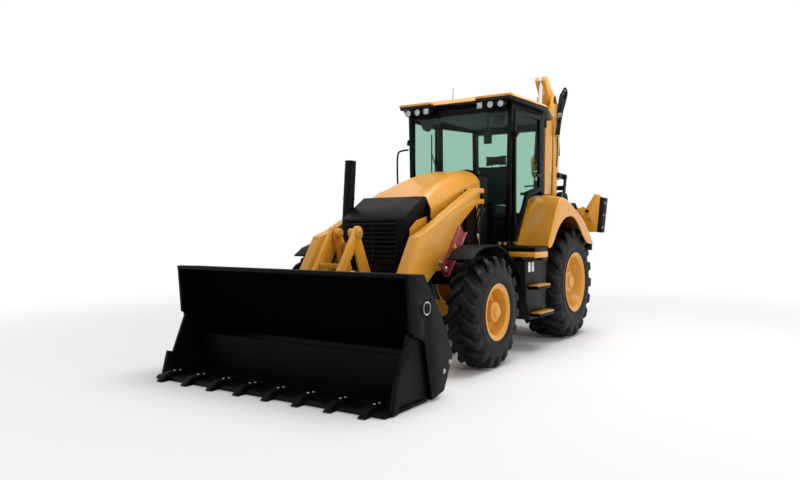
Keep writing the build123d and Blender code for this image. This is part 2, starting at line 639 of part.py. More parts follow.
DOOR_T, DOOR_FRAME = 34, 55
DOOR_OUTLINE = ((850, 1140), (778, 1140), (482, 1660), (145, 1745), (145, 2635), (850, 2635))
DOOR_WINDOW = ((805, 1215), (793, 1215), (520, 1715), (200, 1785), (200, 2580), (805, 2580))


def door_sheet(outline, out_y, thickness, grow=0, mode=Mode.ADD):
    """A sheet in the door's plane, which runs from the front post to the middle one."""
    front, back = POSTS["A"], POSTS["B"]
    start = Vector(along(front[0]), front[2] + out_y)
    run = Vector(along(back[0]), back[2] + out_y) - start
    plane = Plane(origin=start, x_dir=run, z_dir=run.cross(Vector(0, 0, 1)))
    with BuildSketch(plane) as face:
        with BuildLine():
            Polyline(*[(front[0] - x, z if plane.y_dir.Z > 0 else -z) for x, z in outline],
                     close=True)
        make_face()
        if grow:
            offset(amount=grow, kind=Kind.INTERSECTION)
    extrude(face.sketch, amount=thickness / 2, both=True, mode=mode)


with BuildPart() as door_left:
    door_sheet(DOOR_OUTLINE, 8, DOOR_T)
    door_sheet(DOOR_WINDOW, 8, 3 * DOOR_T, mode=Mode.SUBTRACT)
    for z in DOOR_HINGE_ZS:
        block((815, 885), (674, 716), (z + 30 + SEAT_GAP, z + 60))
        with Locations((along(DOOR_HINGE[0]), DOOR_HINGE[1], z + 45)):
            Cylinder(8 + PIN_GAP, 60, mode=Mode.SUBTRACT)
write(door_left, "door_left")
mirrored(door_left, "door_right")
with BuildPart() as door_glass_left:
    door_sheet(DOOR_WINDOW, 8, GLASS_T, grow=-SEAT_GAP)
write(door_glass_left, "door_glass_left")
mirrored(door_glass_left, "door_glass_right")

SEAT_X = 150
with BuildPart() as seat:
    block((SEAT_X - 150, SEAT_X + 150), (-170, 170), (FLOOR_Z, 1480))
    plate(((SEAT_X - 260, 1480), (SEAT_X + 260, 1480), (SEAT_X + 280, 1560), (SEAT_X - 120, 1600),
           (SEAT_X - 230, 2230), (SEAT_X - 330, 2230), (SEAT_X - 290, 1560)), 0, 480, radius=20)
write(seat, "seat")

with BuildPart() as controls:
    block((925, 1150), (-380, 380), (FLOOR_Z, 1865))
    for hand in (-1, 1):
        plate(((1140, 1790), (1140, 1865), (1172, 1915), (1200, 1912), (1202, 1885), (1160, 1790)),
              hand * 200, 12)
        cross_pin(HOOD_HINGE, hand * 180, 60, 12)
    block((720, 840), (-150, 150), (FLOOR_Z, 1420))
    bar((775, 0, 1400), (610, 0, 1830), 45)
    with Locations(Plane(origin=(along(600), 0, 1840), z_dir=(-1, 0, 1))):
        Cylinder(195, 24)
        Cylinder(168, 40, mode=Mode.SUBTRACT)
        Cylinder(45, 60)
        Box(30, 350, 14)
    plate(((-300, FLOOR_Z), (420, FLOOR_Z), (420, 1450), (60, 1690), (-300, 1690)), -430, 140,
          radius=20)
write(controls, "controls")

# ---- backhoe ------------------------------------------------------------------------------------------

POST_Z = (SWING_EAR_Z[0][1] + RUN_GAP, SWING_EAR_Z[1][0] - RUN_GAP)
BOOM_BASE = (-1500, 1250)          # boom cylinder on the swing post
BOOM_EYE = (-1600, 2120)           # boom cylinder on the boom
STICK_BASE = (-1580, 2290)         # stick cylinder on the boom
BUCKET_BASE = (-2345, 3080)        # bucket cylinder on the stick
LEVER_PIN = (-2210, 2120)          # bucket lever on the stick
BUCKET_LUG = (-2360, 1790)         # bucket link to bucket
KNEE = parallel(LEVER_PIN, STICK_END, BUCKET_LUG)  # bucket lever to bucket link
BOOM_HALF, STICK_HALF = 90, 75
HOE_BUCKET_HALF = 285

with BuildPart() as swing_post:
    with Locations((along(SWING_X), 0, sum(POST_Z) / 2)):
        Cylinder(105, POST_Z[1] - POST_Z[0])
    with Locations((along(SWING_X), 0, (SWING_EAR_Z[0][0] + SWING_EAR_Z[1][1]) / 2)):
        Cylinder(60, SWING_EAR_Z[1][1] - SWING_EAR_Z[0][0])
    block((-1490, SWING_X), (-90, 90), POST_Z)
    block((-1530, -1480), (-158, 158), POST_Z)
    for hand in (-1, 1):
        plate(((-1480, POST_Z[0]), (-1480, POST_Z[1]), (-1455, 1290), (-1500, 1330), (-1560, 1300),
               (-1600, 1060), (-1710, 1020), (-1720, 900), (-1640, POST_Z[0])), hand * 142, 32)
    cross_pin(BOOM_FOOT, 0, 320, 35)
    cross_pin(BOOM_BASE, 0, 320, EYE_PIN_R)
write(swing_post, "swing_post")

with BuildPart() as boom:
    plate(((-1590, 880), (-1570, 1000), (-1600, 1400), (-1652, 2050), (-1670, 2450), (-1728, 2800),
           (-1890, 3260), (-1960, 3300), (-2030, 3240), (-1990, 3050), (-1960, 2800),
           (-1940, 2300), (-1880, 1700), (-1720, 980), (-1690, 880)), 0, 2 * BOOM_HALF, radius=25)
    cross_pin(BOOM_FOOT, 0, 2 * 120, 75)
    cross_pin(BOOM_FOOT, 0, 600, 35 + PIN_GAP, mode=Mode.SUBTRACT)
    for hand in (-1, 1):
        plate(((-1660, 2030), (-1590, 2065), (-1555, 2120), (-1530, 2290), (-1560, 2350),
               (-1690, 2420)), hand * 70, 30)
        plate(((-1760, 2950), (-1880, 3290), (-1960, 3320), (-2045, 3230), (-1990, 2990)),
              hand * (BOOM_HALF + 18), 36)
    plate(((-1690, 2880), (-1690, 3420), (-2120, 3420), (-2120, 2880), (-2030, 2880),
           (-1950, 3075)), 0, 2 * (STICK_HALF + 8),
          mode=Mode.SUBTRACT)
    cross_pin(BOOM_TIP, 0, 2 * (BOOM_HALF + 36), 38)
    cross_pin(STICK_BASE, 0, 154, EYE_PIN_R)
write(boom, "boom")

with BuildPart() as stick:
    plate(((-1690, 3545), (-1660, 3480), (-1850, 3230), (-1950, 3130), (-2040, 2900),
           (-2040, 1800), (-2120, 1735), (-2170, 1790), (-2260, 2400), (-2290, 2600),
           (-2290, 3180),
           (-2040, 3340), (-1760, 3550)), 0, 2 * STICK_HALF, radius=20)
    cross_pin(BOOM_TIP, 0, 600, 38 + PIN_GAP, mode=Mode.SUBTRACT)
    plate(((-1600, 3300), (-1600, 3620), (-1890, 3620), (-1890, 3390), (-1820, 3300)), 0, 68,
          mode=Mode.SUBTRACT)
    for hand in (-1, 1):
        plate(((-2250, 3000), (-2300, 3130), (-2385, 3130), (-2395, 3040)), hand * 62, 30)
    cross_pin(STICK_END, 0, 2 * 172, 30)
    cross_pin(LEVER_PIN, 0, 2 * 110, 24)
    cross_pin(BUCKET_BASE, 0, 150, EYE_PIN_R)
write(stick, "stick")

with BuildPart() as bucket_lever:
    for hand in (-1, 1):
        plate(((-2170, 2085), (-2180, 2160), (-2450, 2155), (-2495, 2110), (-2450, 2065)),
              hand * 95, 20, radius=12)
        cross_pin(KNEE, hand * 74, 62, 28)
    cross_pin(LEVER_PIN, 0, 300, 24 + PIN_GAP, mode=Mode.SUBTRACT)
write(bucket_lever, "bucket_lever")

with BuildPart() as bucket_link:
    for hand in (-1, 1):
        plate(((-2495, 2120), (-2450, 2155), (-2405, 2105), (-2315, 1795), (-2360, 1742),
               (-2405, 1785)), hand * 122, 22, radius=12)
    cross_pin(BUCKET_LUG, 0, 300, 24 + PIN_GAP, mode=Mode.SUBTRACT)
    block((-2425, -2405), (-122, 122), (1900, 1970))
write(bucket_link, "bucket_link")

with BuildPart() as hoe_bucket:
    shell = ((-2030, 1600), (-2440, 1700), (-2640, 1560), (-2810, 1300), (-2790, 1000),
             (-2560, 800), (-2060, 760), (-1950, 860))
    hollow = ((-1900, 1590), (-2425, 1665), (-2610, 1540), (-2778, 1290), (-2762, 1020),
              (-2548, 832), (-2070, 792), (-1900, 880))
    plate(shell, 0, 2 * HOE_BUCKET_HALF)
    plate(hollow, 0, 2 * (HOE_BUCKET_HALF - 20), mode=Mode.SUBTRACT)
    for hand in (-1, 1):
        plate(((-2060, 1650), (-2065, 1820), (-2120, 1860), (-2180, 1850), (-2350, 1850),
               (-2410, 1800), (-2440, 1690)), hand * 155, 36)
    cross_pin(BUCKET_LUG, 0, 340, 24)
    for hand in (-1, 1):
        cross_pin(STICK_END, hand * 142, 62, 50)
    cross_pin(STICK_END, 0, 600, 30 + PIN_GAP, mode=Mode.SUBTRACT)
    for index in range(5):
        plate(((-2070, 772), (-1960, 850), (-1900, 905), (-1935, 840), (-2050, 750)),
              (index - 2) * 137, 50)
write(hoe_bucket, "hoe_bucket")

cylinder_pair("boom_cylinder", BOOM_BASE, BOOM_EYE, 0, 55, 32, barrel=750, inner=75, eye_w=88)
cylinder_pair("stick_cylinder", STICK_BASE, STICK_NOSE, 0, 48, 28, barrel=645, inner=575,
              eye_w=50)
cylinder_pair("bucket_cylinder", BUCKET_BASE, KNEE, 0, 42, 26, barrel=644, inner=320, eye_w=60)

# ---- stabilisers ----------------------------------------------------------------------------------------

STAB_KNEE = (760, 1460)            # cylinder on the leg: distance to the side, height
STAB_PAD = (985, 1440)             # pad on the leg
PAD_HALF = 75
with BuildPart() as stabiliser_left:
    upright(((385, 620), (400, 700), (700, 1400), (740, 1530), (830, 1560), (1010, 1500),
             (1030, 1420), (960, 1380), (820, 1320), (490, 610), (430, 585)), LEG_X, LEG_T)
    long_pin(STAB_FOOT, LEG_X, 400, 30 + PIN_GAP, mode=Mode.SUBTRACT)
    for x in (LEG_X - PAD_HALF + 12, LEG_X + PAD_HALF - 12):
        upright(((900, 1420), (910, 1520), (1050, 1745), (1120, 1700), (1075, 1250),
                 (930, 1245)), x, 24)
    upright(((1100, 1702), (1120, 1700), (1076, 1245), (1056, 1246)), LEG_X, 2 * PAD_HALF)
    long_pin(STAB_PAD, LEG_X, 2 * PAD_HALF + 10, 42)
write(stabiliser_left, "stabiliser_left")
mirrored(stabiliser_left, "stabiliser_right")

with BuildPart() as pad_left:
    upright(((1120.5, 1700), (1178, 1690), (1135, 1238), (1076.5, 1245)), LEG_X, 2 * PAD_HALF)
write(pad_left, "stabiliser_pad_left")
mirrored(pad_left, "stabiliser_pad_right")

CYLINDER_X = LEG_X + LEG_T / 2 + 44
with BuildPart() as stab_barrel:
    mouth = between(STAB_BASE, STAB_KNEE, 605)
    start, deep = (between(STAB_BASE, STAB_KNEE, d) for d in (25, 60))
    bar((CYLINDER_X, *start), (CYLINDER_X, *mouth), 36)
    long_pin(STAB_BASE, CYLINDER_X, 50, 40)
    bar((CYLINDER_X, *deep), (CYLINDER_X, *mouth), 22.1, mode=Mode.SUBTRACT)
    long_pin(STAB_BASE, CYLINDER_X, 100, 22 + PIN_GAP, mode=Mode.SUBTRACT)
write(stab_barrel, "stabiliser_barrel_left")
mirrored(stab_barrel, "stabiliser_barrel_right")

with BuildPart() as stab_rod:
    deep, tip = between(STAB_BASE, STAB_KNEE, 70), between(STAB_KNEE, STAB_BASE, 20)
    bar((CYLINDER_X, *deep), (CYLINDER_X, *tip), 22)
    long_pin(STAB_KNEE, CYLINDER_X, 50, 38)
write(stab_rod, "stabiliser_rod_left")
mirrored(stab_rod, "stabiliser_rod_right")
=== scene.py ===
import json
import math

import bmesh
import bpy
from mathutils import Matrix, Vector

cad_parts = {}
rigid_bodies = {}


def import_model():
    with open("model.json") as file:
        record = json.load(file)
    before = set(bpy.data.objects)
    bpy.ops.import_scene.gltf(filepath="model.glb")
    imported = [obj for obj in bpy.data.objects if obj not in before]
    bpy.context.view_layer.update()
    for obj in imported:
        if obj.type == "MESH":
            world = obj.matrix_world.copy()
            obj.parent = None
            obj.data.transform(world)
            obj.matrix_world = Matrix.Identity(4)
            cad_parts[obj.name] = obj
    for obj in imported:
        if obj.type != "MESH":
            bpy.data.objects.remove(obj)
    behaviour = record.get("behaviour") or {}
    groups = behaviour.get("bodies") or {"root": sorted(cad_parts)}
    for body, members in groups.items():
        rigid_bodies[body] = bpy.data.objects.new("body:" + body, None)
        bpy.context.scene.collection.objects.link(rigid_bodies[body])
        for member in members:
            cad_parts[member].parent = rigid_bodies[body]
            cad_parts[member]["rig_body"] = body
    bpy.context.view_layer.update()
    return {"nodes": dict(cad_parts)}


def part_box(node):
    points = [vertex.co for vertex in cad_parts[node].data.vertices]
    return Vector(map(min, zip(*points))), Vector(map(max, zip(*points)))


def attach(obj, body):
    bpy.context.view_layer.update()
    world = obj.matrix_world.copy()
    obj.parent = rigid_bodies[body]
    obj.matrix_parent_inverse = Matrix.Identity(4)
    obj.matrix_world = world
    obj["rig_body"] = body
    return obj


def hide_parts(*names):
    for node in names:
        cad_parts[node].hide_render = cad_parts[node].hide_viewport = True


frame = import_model()
nodes = frame["nodes"]
scene = bpy.context.scene
rearAxleX = sum(corner[0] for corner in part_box("rear_tyre_left")) / 2
# Lengths along the machine are given from the rear axle.
print("frame loaded:", len(nodes), "nodes")


# Shader sums written as Python expressions.
class Value:
    def __init__(self, finish, socket):
        self.finish, self.socket = finish, socket

    def sum(self, operation, *terms):
        return self.finish.node("Math", {"operation": operation}, dict(enumerate(terms)))

    def __add__(self, other):
        return self.sum("ADD", self, other)

    def __radd__(self, other):
        return self.sum("ADD", other, self)

    def __sub__(self, other):
        return self.sum("SUBTRACT", self, other)

    def __rsub__(self, other):
        return self.sum("SUBTRACT", other, self)

    def __mul__(self, other):
        return self.sum("MULTIPLY", self, other)

    def __rmul__(self, other):
        return self.sum("MULTIPLY", other, self)

    def __truediv__(self, other):
        return self.sum("DIVIDE", self, other)


class Finish:
    def __init__(self, name, **sockets):
        self.material = bpy.data.materials.new(name)
        self.material.use_nodes = True
        self.tree = self.material.node_tree
        self.shader = self.tree.nodes["Principled BSDF"]
        self.place = self.node("TexCoord", output="Object")
        for key, value in sockets.items():
            self.feed(self.shader.inputs[key.replace("_", " ")], value)

    def node(self, kind, settings=None, inputs=None, output=0):
        made = self.tree.nodes.new("ShaderNode" + kind)
        for key, value in (settings or {}).items():
            setattr(made, key, value)
        for key, value in (inputs or {}).items():
            self.feed(made.inputs[key], value)
        return Value(self, made.outputs[output])

    def feed(self, socket, value):
        if isinstance(value, Value):
            self.tree.links.new(value.socket, socket)
        else:
            socket.default_value = value

    def noise(self, scale, detail=3, roughness=0.5):
        return self.node("TexNoise", None, {"Vector": self.place, "Scale": scale,
                                            "Detail": detail, "Roughness": roughness})

    def between(self, value, low, high, start, end):
        return self.node("MapRange", None, {0: value, 1: low, 2: high, 3: start, 4: end})

    def mixed(self, share, first, second):
        return self.node("Mix", {"data_type": "RGBA"}, {0: share, 6: first, 7: second}, 2)

    def axis(self, name):
        return self.node("SeparateXYZ", None, {0: self.place}, "XYZ".index(name))

    def bump(self, height, strength, distance):
        return self.node("Bump", None, {"Height": height, "Strength": strength,
                                        "Distance": distance})

    def surface(self, **sockets):
        for key, value in sockets.items():
            self.feed(self.shader.inputs[key.replace("_", " ")], value)
        return self.material


def colour(red, green, blue):        # a colour as seen, 0 to 255, turned into light
    def light(level):
        level /= 255
        return level / 12.92 if level <= 0.04045 else ((level + 0.055) / 1.055) ** 2.4
    return (light(red), light(green), light(blue), 1)


def paint(name, main, dusty, gloss, coat, peel=0.02):
    finish = Finish(name, IOR=1.5 if coat else 1.3, Coat_Roughness=0.08,
                    Specular_IOR_Level=0.42 if coat else 0.16)
    cloud = finish.noise(1.6, 4)
    speck = finish.noise(34, 5, 0.65)
    settle = finish.between(finish.axis("Z"), 0.1, 1.3, 0.3, 0.06)
    dust = settle * finish.between(cloud * speck, 0.14, 0.4, 0, 1)
    shade = finish.mixed(dust, main, dusty)
    rough = gloss + 0.14 * dust + 0.06 * finish.noise(9, 3)
    return finish.surface(Base_Color=shade, Roughness=rough,
                          Coat_Weight=finish.between(dust, 0, 0.3, coat, coat * 0.4),
                          Normal=finish.bump(finish.noise(420, 2), peel, 0.0006))


def moulded(name, main, pale, gloss, grain, height):
    finish = Finish(name, IOR=1.48, Specular_IOR_Level=0.18)
    cloud = finish.noise(2.4, 4)
    shade = finish.mixed(finish.between(cloud, 0.35, 0.75, 0, 1), main, pale)
    pebble = finish.node("TexVoronoi", None, {"Vector": finish.place, "Scale": grain})
    return finish.surface(Base_Color=shade, Roughness=gloss + 0.16 * finish.noise(14, 4),
                          Normal=finish.bump(pebble, 0.35, height))


finishes = {
    "yellowPaint": paint("yellow paint", colour(217, 150, 42), colour(186, 144, 78), 0.3, 0.16),
    "blackPaint": paint("black paint", colour(7, 7, 8), colour(24, 23, 21), 0.38, 0.0),
    "bucketPaint": paint("bucket paint", colour(4, 4, 4), colour(15, 14, 13), 0.44, 0.0),
    "maroonPaint": paint("maroon paint", colour(132, 24, 30), colour(120, 70, 62), 0.34, 0.3),
    "blackPlastic": moulded("black plastic", colour(9, 10, 10), colour(18, 18, 19), 0.4,
                            900, 0.0004),
    "rubber": moulded("rubber", colour(11, 11, 11), colour(21, 21, 20), 0.56, 500, 0.0003),
    "tyre": moulded("tyre rubber", colour(12, 12, 13), colour(25, 24, 24), 0.5, 260, 0.0006),
    "grey": moulded("grey plastic", colour(70, 72, 73), colour(84, 86, 87), 0.5, 700, 0.0004),
}


def brushed(name, main, pale, rough, metal=1.0):
    finish = Finish(name)
    scratch = finish.noise(160, 6, 0.7)
    patch = finish.noise(7, 4)
    return finish.surface(Base_Color=finish.mixed(patch, main, pale), Metallic=metal,
                          Roughness=rough + 0.18 * scratch,
                          Normal=finish.bump(scratch, 0.08, 0.0003))


finishes["chrome"] = brushed("rod chrome", colour(205, 207, 210), colour(228, 229, 231), 0.08)
finishes["zinc"] = brushed("plated steel", colour(150, 152, 154), colour(186, 187, 186), 0.26)
finishes["castIron"] = brushed("cast iron", colour(30, 30, 31), colour(52, 50, 48), 0.55, 0.3)
finishes["pin"] = brushed("bright pin", colour(196, 197, 199), colour(220, 221, 222), 0.2)


def clearGlass(name, tint, share, body):
    finish = Finish(name, Base_Color=body, IOR=1.45)
    smear = finish.noise(3, 4)
    finish.surface(Roughness=0.02 + 0.05 * smear)
    out = finish.tree.nodes["Material Output"]
    through = finish.node("BsdfTransparent", None, {0: tint})
    mix = finish.node("MixShader", None, {0: finish.between(smear, 0.2, 0.8, share, share * 1.25),
                                          1: through})
    finish.tree.links.new(finish.shader.outputs[0], mix.socket.node.inputs[2])
    finish.tree.links.new(mix.socket, out.inputs["Surface"])
    return finish.material


finishes["glass"] = clearGlass("cab glass", colour(232, 247, 240), 0.08, colour(30, 38, 35))
finishes["lens"] = clearGlass("lamp lens", colour(225, 232, 236), 0.4,
                              colour(225, 232, 236))


def woven(name, main, pale):
    finish = Finish(name, IOR=1.4, Sheen_Weight=0.25)
    threads = finish.node("TexWave", {"wave_type": "BANDS", "bands_direction": "DIAGONAL"},
                          {"Vector": finish.place, "Scale": 260, "Distortion": 1.5})
    cloud = finish.noise(6, 4)
    return finish.surface(Base_Color=finish.mixed(cloud * 0.6 + threads * 0.4, main, pale),
                          Roughness=0.8 + 0.1 * cloud,
                          Normal=finish.bump(threads, 0.4, 0.0008))


finishes["fabric"] = woven("seat fabric", colour(34, 35, 38), colour(58, 59, 63))


def coloured(name, main, pale, rough):
    finish = Finish(name)
    patch = finish.noise(22, 4)
    return finish.surface(Base_Color=finish.mixed(patch, main, pale),
                          Roughness=rough + 0.1 * patch,
                          Normal=finish.bump(finish.noise(300, 2), 0.04, 0.0004))


finishes["amber"] = coloured("amber lens", colour(214, 108, 12), colour(232, 138, 30), 0.12)
finishes["greenGrey"] = coloured("clear lens", colour(126, 140, 132), colour(160, 172, 166), 0.1)
finishes["white"] = coloured("white film", colour(226, 227, 226), colour(240, 240, 238), 0.35)
finishes["red"] = coloured("red lens", colour(150, 14, 16), colour(176, 26, 24), 0.14)
finishes["reflector"] = brushed("lamp reflector", colour(214, 216, 220), colour(236, 238, 240),
                                0.12)
print("finishes made:", len(finishes))


# Finish of each node that keeps its own mesh.
nodeFinish = {}
for finishKey, names in {
    "yellowPaint": "hood rear_fenders loader_arms tilt_lever tilt_link cab_roof boom stick "
                   "swing_post stabiliser_left stabiliser_right bucket_lever bucket_link",
    "blackPaint": "main_frame engine axles knuckle_left knuckle_right side_panels nose_cover "
                  "exhaust_stack platform tanks front_fenders cab_frame door_left door_right "
                  "work_lamps stabiliser_barrel_left stabiliser_barrel_right "
                  "boom_cylinder_barrel stick_cylinder_barrel bucket_cylinder_barrel "
                  "lift_barrel tilt_barrel",
    "bucketPaint": "loader_bucket bucket_jaw hoe_bucket",
    "glass": "cab_glass door_glass_left door_glass_right",
    "chrome": "lift_rod tilt_rod boom_cylinder_rod stick_cylinder_rod bucket_cylinder_rod "
              "stabiliser_rod_left stabiliser_rod_right",
    "rubber": "stabiliser_pad_left stabiliser_pad_right",
    "fabric": "seat",
    "blackPlastic": "controls",
}.items():
    for name in names.split():
        nodeFinish[name] = finishKey


sides = ((1, "left"), (-1, "right"))


# Modelling steps that the pieces share.
def deselect():
    for item in bpy.context.view_layer.objects:
        item.select_set(False)


def choose(obj):
    deselect()
    obj.select_set(True)
    bpy.context.view_layer.objects.active = obj
    return obj


def active():
    return bpy.context.view_layer.objects.active


def settle(obj):                  # the piece's place goes into its mesh
    choose(obj)
    bpy.ops.object.transform_apply(location=True, rotation=True, scale=True)
    return obj


def applied(obj, kind, **settings):
    choose(obj)
    modifier = obj.modifiers.new(kind.title(), kind)
    for key, value in settings.items():
        setattr(modifier, key, value)
    bpy.ops.object.modifier_apply(modifier=modifier.name)
    return obj


def softened(obj, width, segments=2, angle=32):
    applied(obj, "BEVEL", width=width, segments=segments, limit_method="ANGLE",
            angle_limit=math.radians(angle), harden_normals=False)
    return smooth(obj)


def smooth(obj, angle=38):
    choose(obj)
    bpy.ops.object.shade_smooth_by_angle(angle=math.radians(angle))
    return obj


def drawn(name, draw):            # a new piece from the corners and faces that draw() adds
    deselect()
    mesh = bpy.data.meshes.new(name)
    obj = bpy.data.objects.new(name, mesh)
    scene.collection.objects.link(obj)
    shape = bmesh.new()
    draw(shape)
    shape.to_mesh(mesh)
    shape.free()
    return choose(obj)


def facesOut(obj):
    choose(obj)
    bpy.ops.object.mode_set(mode="EDIT")
    bpy.ops.mesh.select_all(action="SELECT")
    bpy.ops.mesh.normals_make_consistent(inside=False)
    bpy.ops.object.mode_set(mode="OBJECT")
    return obj


def place(obj, name, finish, body, *replaced, slot=None):
    settle(obj)
    obj.name = obj.data.name = name
    obj.data.materials.clear()
    obj.data.materials.append(finishes[finish])
    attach(obj, body)
    if replaced:
        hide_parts(*replaced)
    return obj


def joined(objects):
    deselect()
    for item in objects:
        item.select_set(True)
    bpy.context.view_layer.objects.active = objects[0]
    if len(objects) > 1:
        bpy.ops.object.join()
    return active()


def mirrorCopy(obj):              # the same piece for the right-hand side, with its own mesh
    choose(obj)
    bpy.ops.object.duplicate()
    other = active()
    other.scale.y = -1
    return facesOut(settle(other))


def cube(low, high, bevel=0.004, segments=2):       # a block with eased edges
    size = [b - a for a, b in zip(low, high)]
    middle = [(a + b) / 2 for a, b in zip(low, high)]
    deselect()
    bpy.ops.mesh.primitive_cube_add(size=1, location=middle)
    obj = active()
    obj.scale = size
    settle(obj)
    if bevel:
        softened(obj, min(bevel, min(size) * 0.45), segments)
    return obj


def sideBlock(x, y, z, hand, bevel=0.004, segments=2):
    # a block on one side of the machine, its ranges along x, outwards and upwards
    near, far = sorted((hand * y[0], hand * y[1]))
    return cube(mid(x[0], near, z[0]), mid(x[1], far, z[1]), bevel, segments)


def rod(start, end, radius, sides=16, bevel=0.0, tip=None):      # a round bar between two points
    start, end = Vector(start), Vector(end)
    deselect()
    bpy.ops.mesh.primitive_cone_add(vertices=sides, radius1=radius, depth=(end - start).length,
                                    radius2=radius if tip is None else tip,
                                    location=(start + end) / 2,
                                    rotation=(end - start).to_track_quat("Z", "Y").to_euler())
    obj = settle(active())
    if bevel:
        softened(obj, bevel)
    return smooth(obj)


def slab(outline, y, thickness, bevel=0.004, segments=2):
    # a flat plate of an outline seen from the side, x from the rear axle
    def draw(shape):
        shape.faces.new([shape.verts.new((rearAxleX + x, y - thickness / 2, z))
                         for x, z in outline])

    obj = drawn("slab", draw)
    bpy.ops.object.mode_set(mode="EDIT")
    bpy.ops.mesh.select_all(action="SELECT")
    bpy.ops.mesh.extrude_region_move(TRANSFORM_OT_translate={"value": (0, thickness, 0)})
    bpy.ops.mesh.select_all(action="SELECT")
    bpy.ops.mesh.normals_make_consistent(inside=False)
    bpy.ops.object.mode_set(mode="OBJECT")
    if bevel:
        softened(obj, bevel, segments)
    return obj


def hose(points, radius):
    # a round bar that runs smoothly near its points
    line = bpy.data.curves.new("hose", "CURVE")
    line.dimensions = "3D"
    line.bevel_depth, line.bevel_resolution = radius, 3
    line.resolution_u, line.use_fill_caps = 6, True
    run = line.splines.new("NURBS")
    run.points.add(len(points) - 1)
    for point, co in zip(run.points, points):
        point.co = (*co, 1)
    run.order_u = 3
    run.use_endpoint_u = True
    obj = bpy.data.objects.new("hose", line)
    scene.collection.objects.link(obj)
    choose(obj)
    bpy.ops.object.convert(target="MESH")
    return smooth(active(), 50)


def spun(profile, centre, steps=48, out=1):
    # a turned shape: (radius, distance out along the axle) round the wheel's centre
    def draw(shape):
        corners = [shape.verts.new((centre[0] + radius, centre[1] + out * reach, centre[2]))
                   for radius, reach in profile]
        for first, second in zip(corners, corners[1:] + corners[:1]):
            shape.edges.new((first, second))

    obj = drawn("spun", draw)
    bpy.ops.object.mode_set(mode="EDIT")
    bpy.ops.mesh.select_all(action="SELECT")
    bpy.ops.mesh.spin(steps=steps, angle=2 * math.pi, center=centre, axis=(0, 1, 0))
    bpy.ops.mesh.select_all(action="SELECT")
    bpy.ops.mesh.remove_doubles(threshold=0.0001)
    bpy.ops.mesh.normals_make_consistent(inside=False)
    bpy.ops.object.mode_set(mode="OBJECT")
    return smooth(obj, 35)


def boltHeads(spots, radius, depth, direction):      # hexagon heads, standing out along direction
    heads = []
    for spot in spots:
        spot, reach = Vector(spot), Vector(direction).normalized()
        head = rod(spot, spot + reach * depth, radius, 6)
        heads += [softened(head, radius * 0.12, 1, 30),
                  rod(spot - reach * 0.001, spot + reach * depth * 0.25, radius * 1.4, 18)]
    return joined(heads)


def merged(node):                 # a copy of the node's own shape, its loose triangles joined up
    copy = nodes[node].copy()
    copy.data = nodes[node].data.copy()
    copy.parent = None
    for key in list(copy.keys()):
        del copy[key]
    scene.collection.objects.link(copy)
    choose(copy)
    bpy.ops.object.mode_set(mode="EDIT")
    bpy.ops.mesh.select_all(action="SELECT")
    bpy.ops.mesh.remove_doubles(threshold=0.00002)
    bpy.ops.mesh.select_all(action="SELECT")
    bpy.ops.mesh.dissolve_limited(angle_limit=math.radians(0.6))
    bpy.ops.object.mode_set(mode="OBJECT")
    return copy


def dressed(node, finish, bevel, slot=None):
    # the node's own shape with its edges eased, for a piece that stands for it
    copy = merged(node)
    copy.data.materials.clear()
    softened(copy, bevel, 2, 40)
    return place(copy, node + "_shell", finish, nodes[node]["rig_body"], node, slot=slot)


def finished(node, finish):       # a node that keeps its own mesh and gets a better material
    mesh = nodes[node].data
    if not mesh.materials:
        mesh.materials.append(None)
    for index in range(len(mesh.materials)):
        mesh.materials[index] = finishes[finish]


def mid(x, y, z):                 # a point given with x from the rear axle
    return (rearAxleX + x, y, z)


# Wheels: a spun carcass, lugs that bend over the shoulder, and a dished rim.
wheels = {
    "front": {"x": 2.2, "y": 0.9475, "radius": 0.515, "half": 0.155, "bead": 0.25, "lugs": 18,
              "lugWidth": 0.056, "lugHeight": 0.042, "slant": 0.12, "bolts": 8, "circle": 0.122,
              "boltOut": 0.02, "boltRadius": 0.0125,
              "rim": [(0, 0.150), (0.045, 0.150), (0.058, 0.143), (0.061, 0.128),
                      (0.088, 0.124), (0.096, 0.112), (0.099, 0.032), (0.150, 0.014),
                      (0.190, 0.030), (0.206, 0.095), (0.214, 0.132), (0.226, 0.141),
                      (0.244, 0.150), (0.262, 0.150), (0.264, 0.143), (0.249, 0.132),
                      (0.249, -0.132), (0.264, -0.143), (0.262, -0.150), (0.244, -0.150),
                      (0.226, -0.06), (0.2, -0.01), (0.15, -0.02), (0, -0.02)]},
    "rear": {"x": 0.0, "y": 0.857, "radius": 0.655, "half": 0.245, "bead": 0.338, "lugs": 18,
             "lugWidth": 0.074, "lugHeight": 0.048, "slant": 0.18, "bolts": 10, "circle": 0.172,
             "boltOut": 0.094, "boltRadius": 0.0145,
             "rim": [(0, 0.192), (0.066, 0.192), (0.08, 0.182), (0.084, 0.166), (0.122, 0.162),
                     (0.131, 0.150), (0.134, 0.106), (0.2, 0.084), (0.262, 0.1),
                     (0.286, 0.165), (0.3, 0.214), (0.316, 0.226), (0.334, 0.238),
                     (0.352, 0.238), (0.354, 0.23), (0.337, 0.216), (0.337, -0.216),
                     (0.354, -0.23), (0.352, -0.238), (0.334, -0.238), (0.3, -0.1),
                     (0.26, 0.04), (0.2, 0.05), (0, 0.05)]},
}


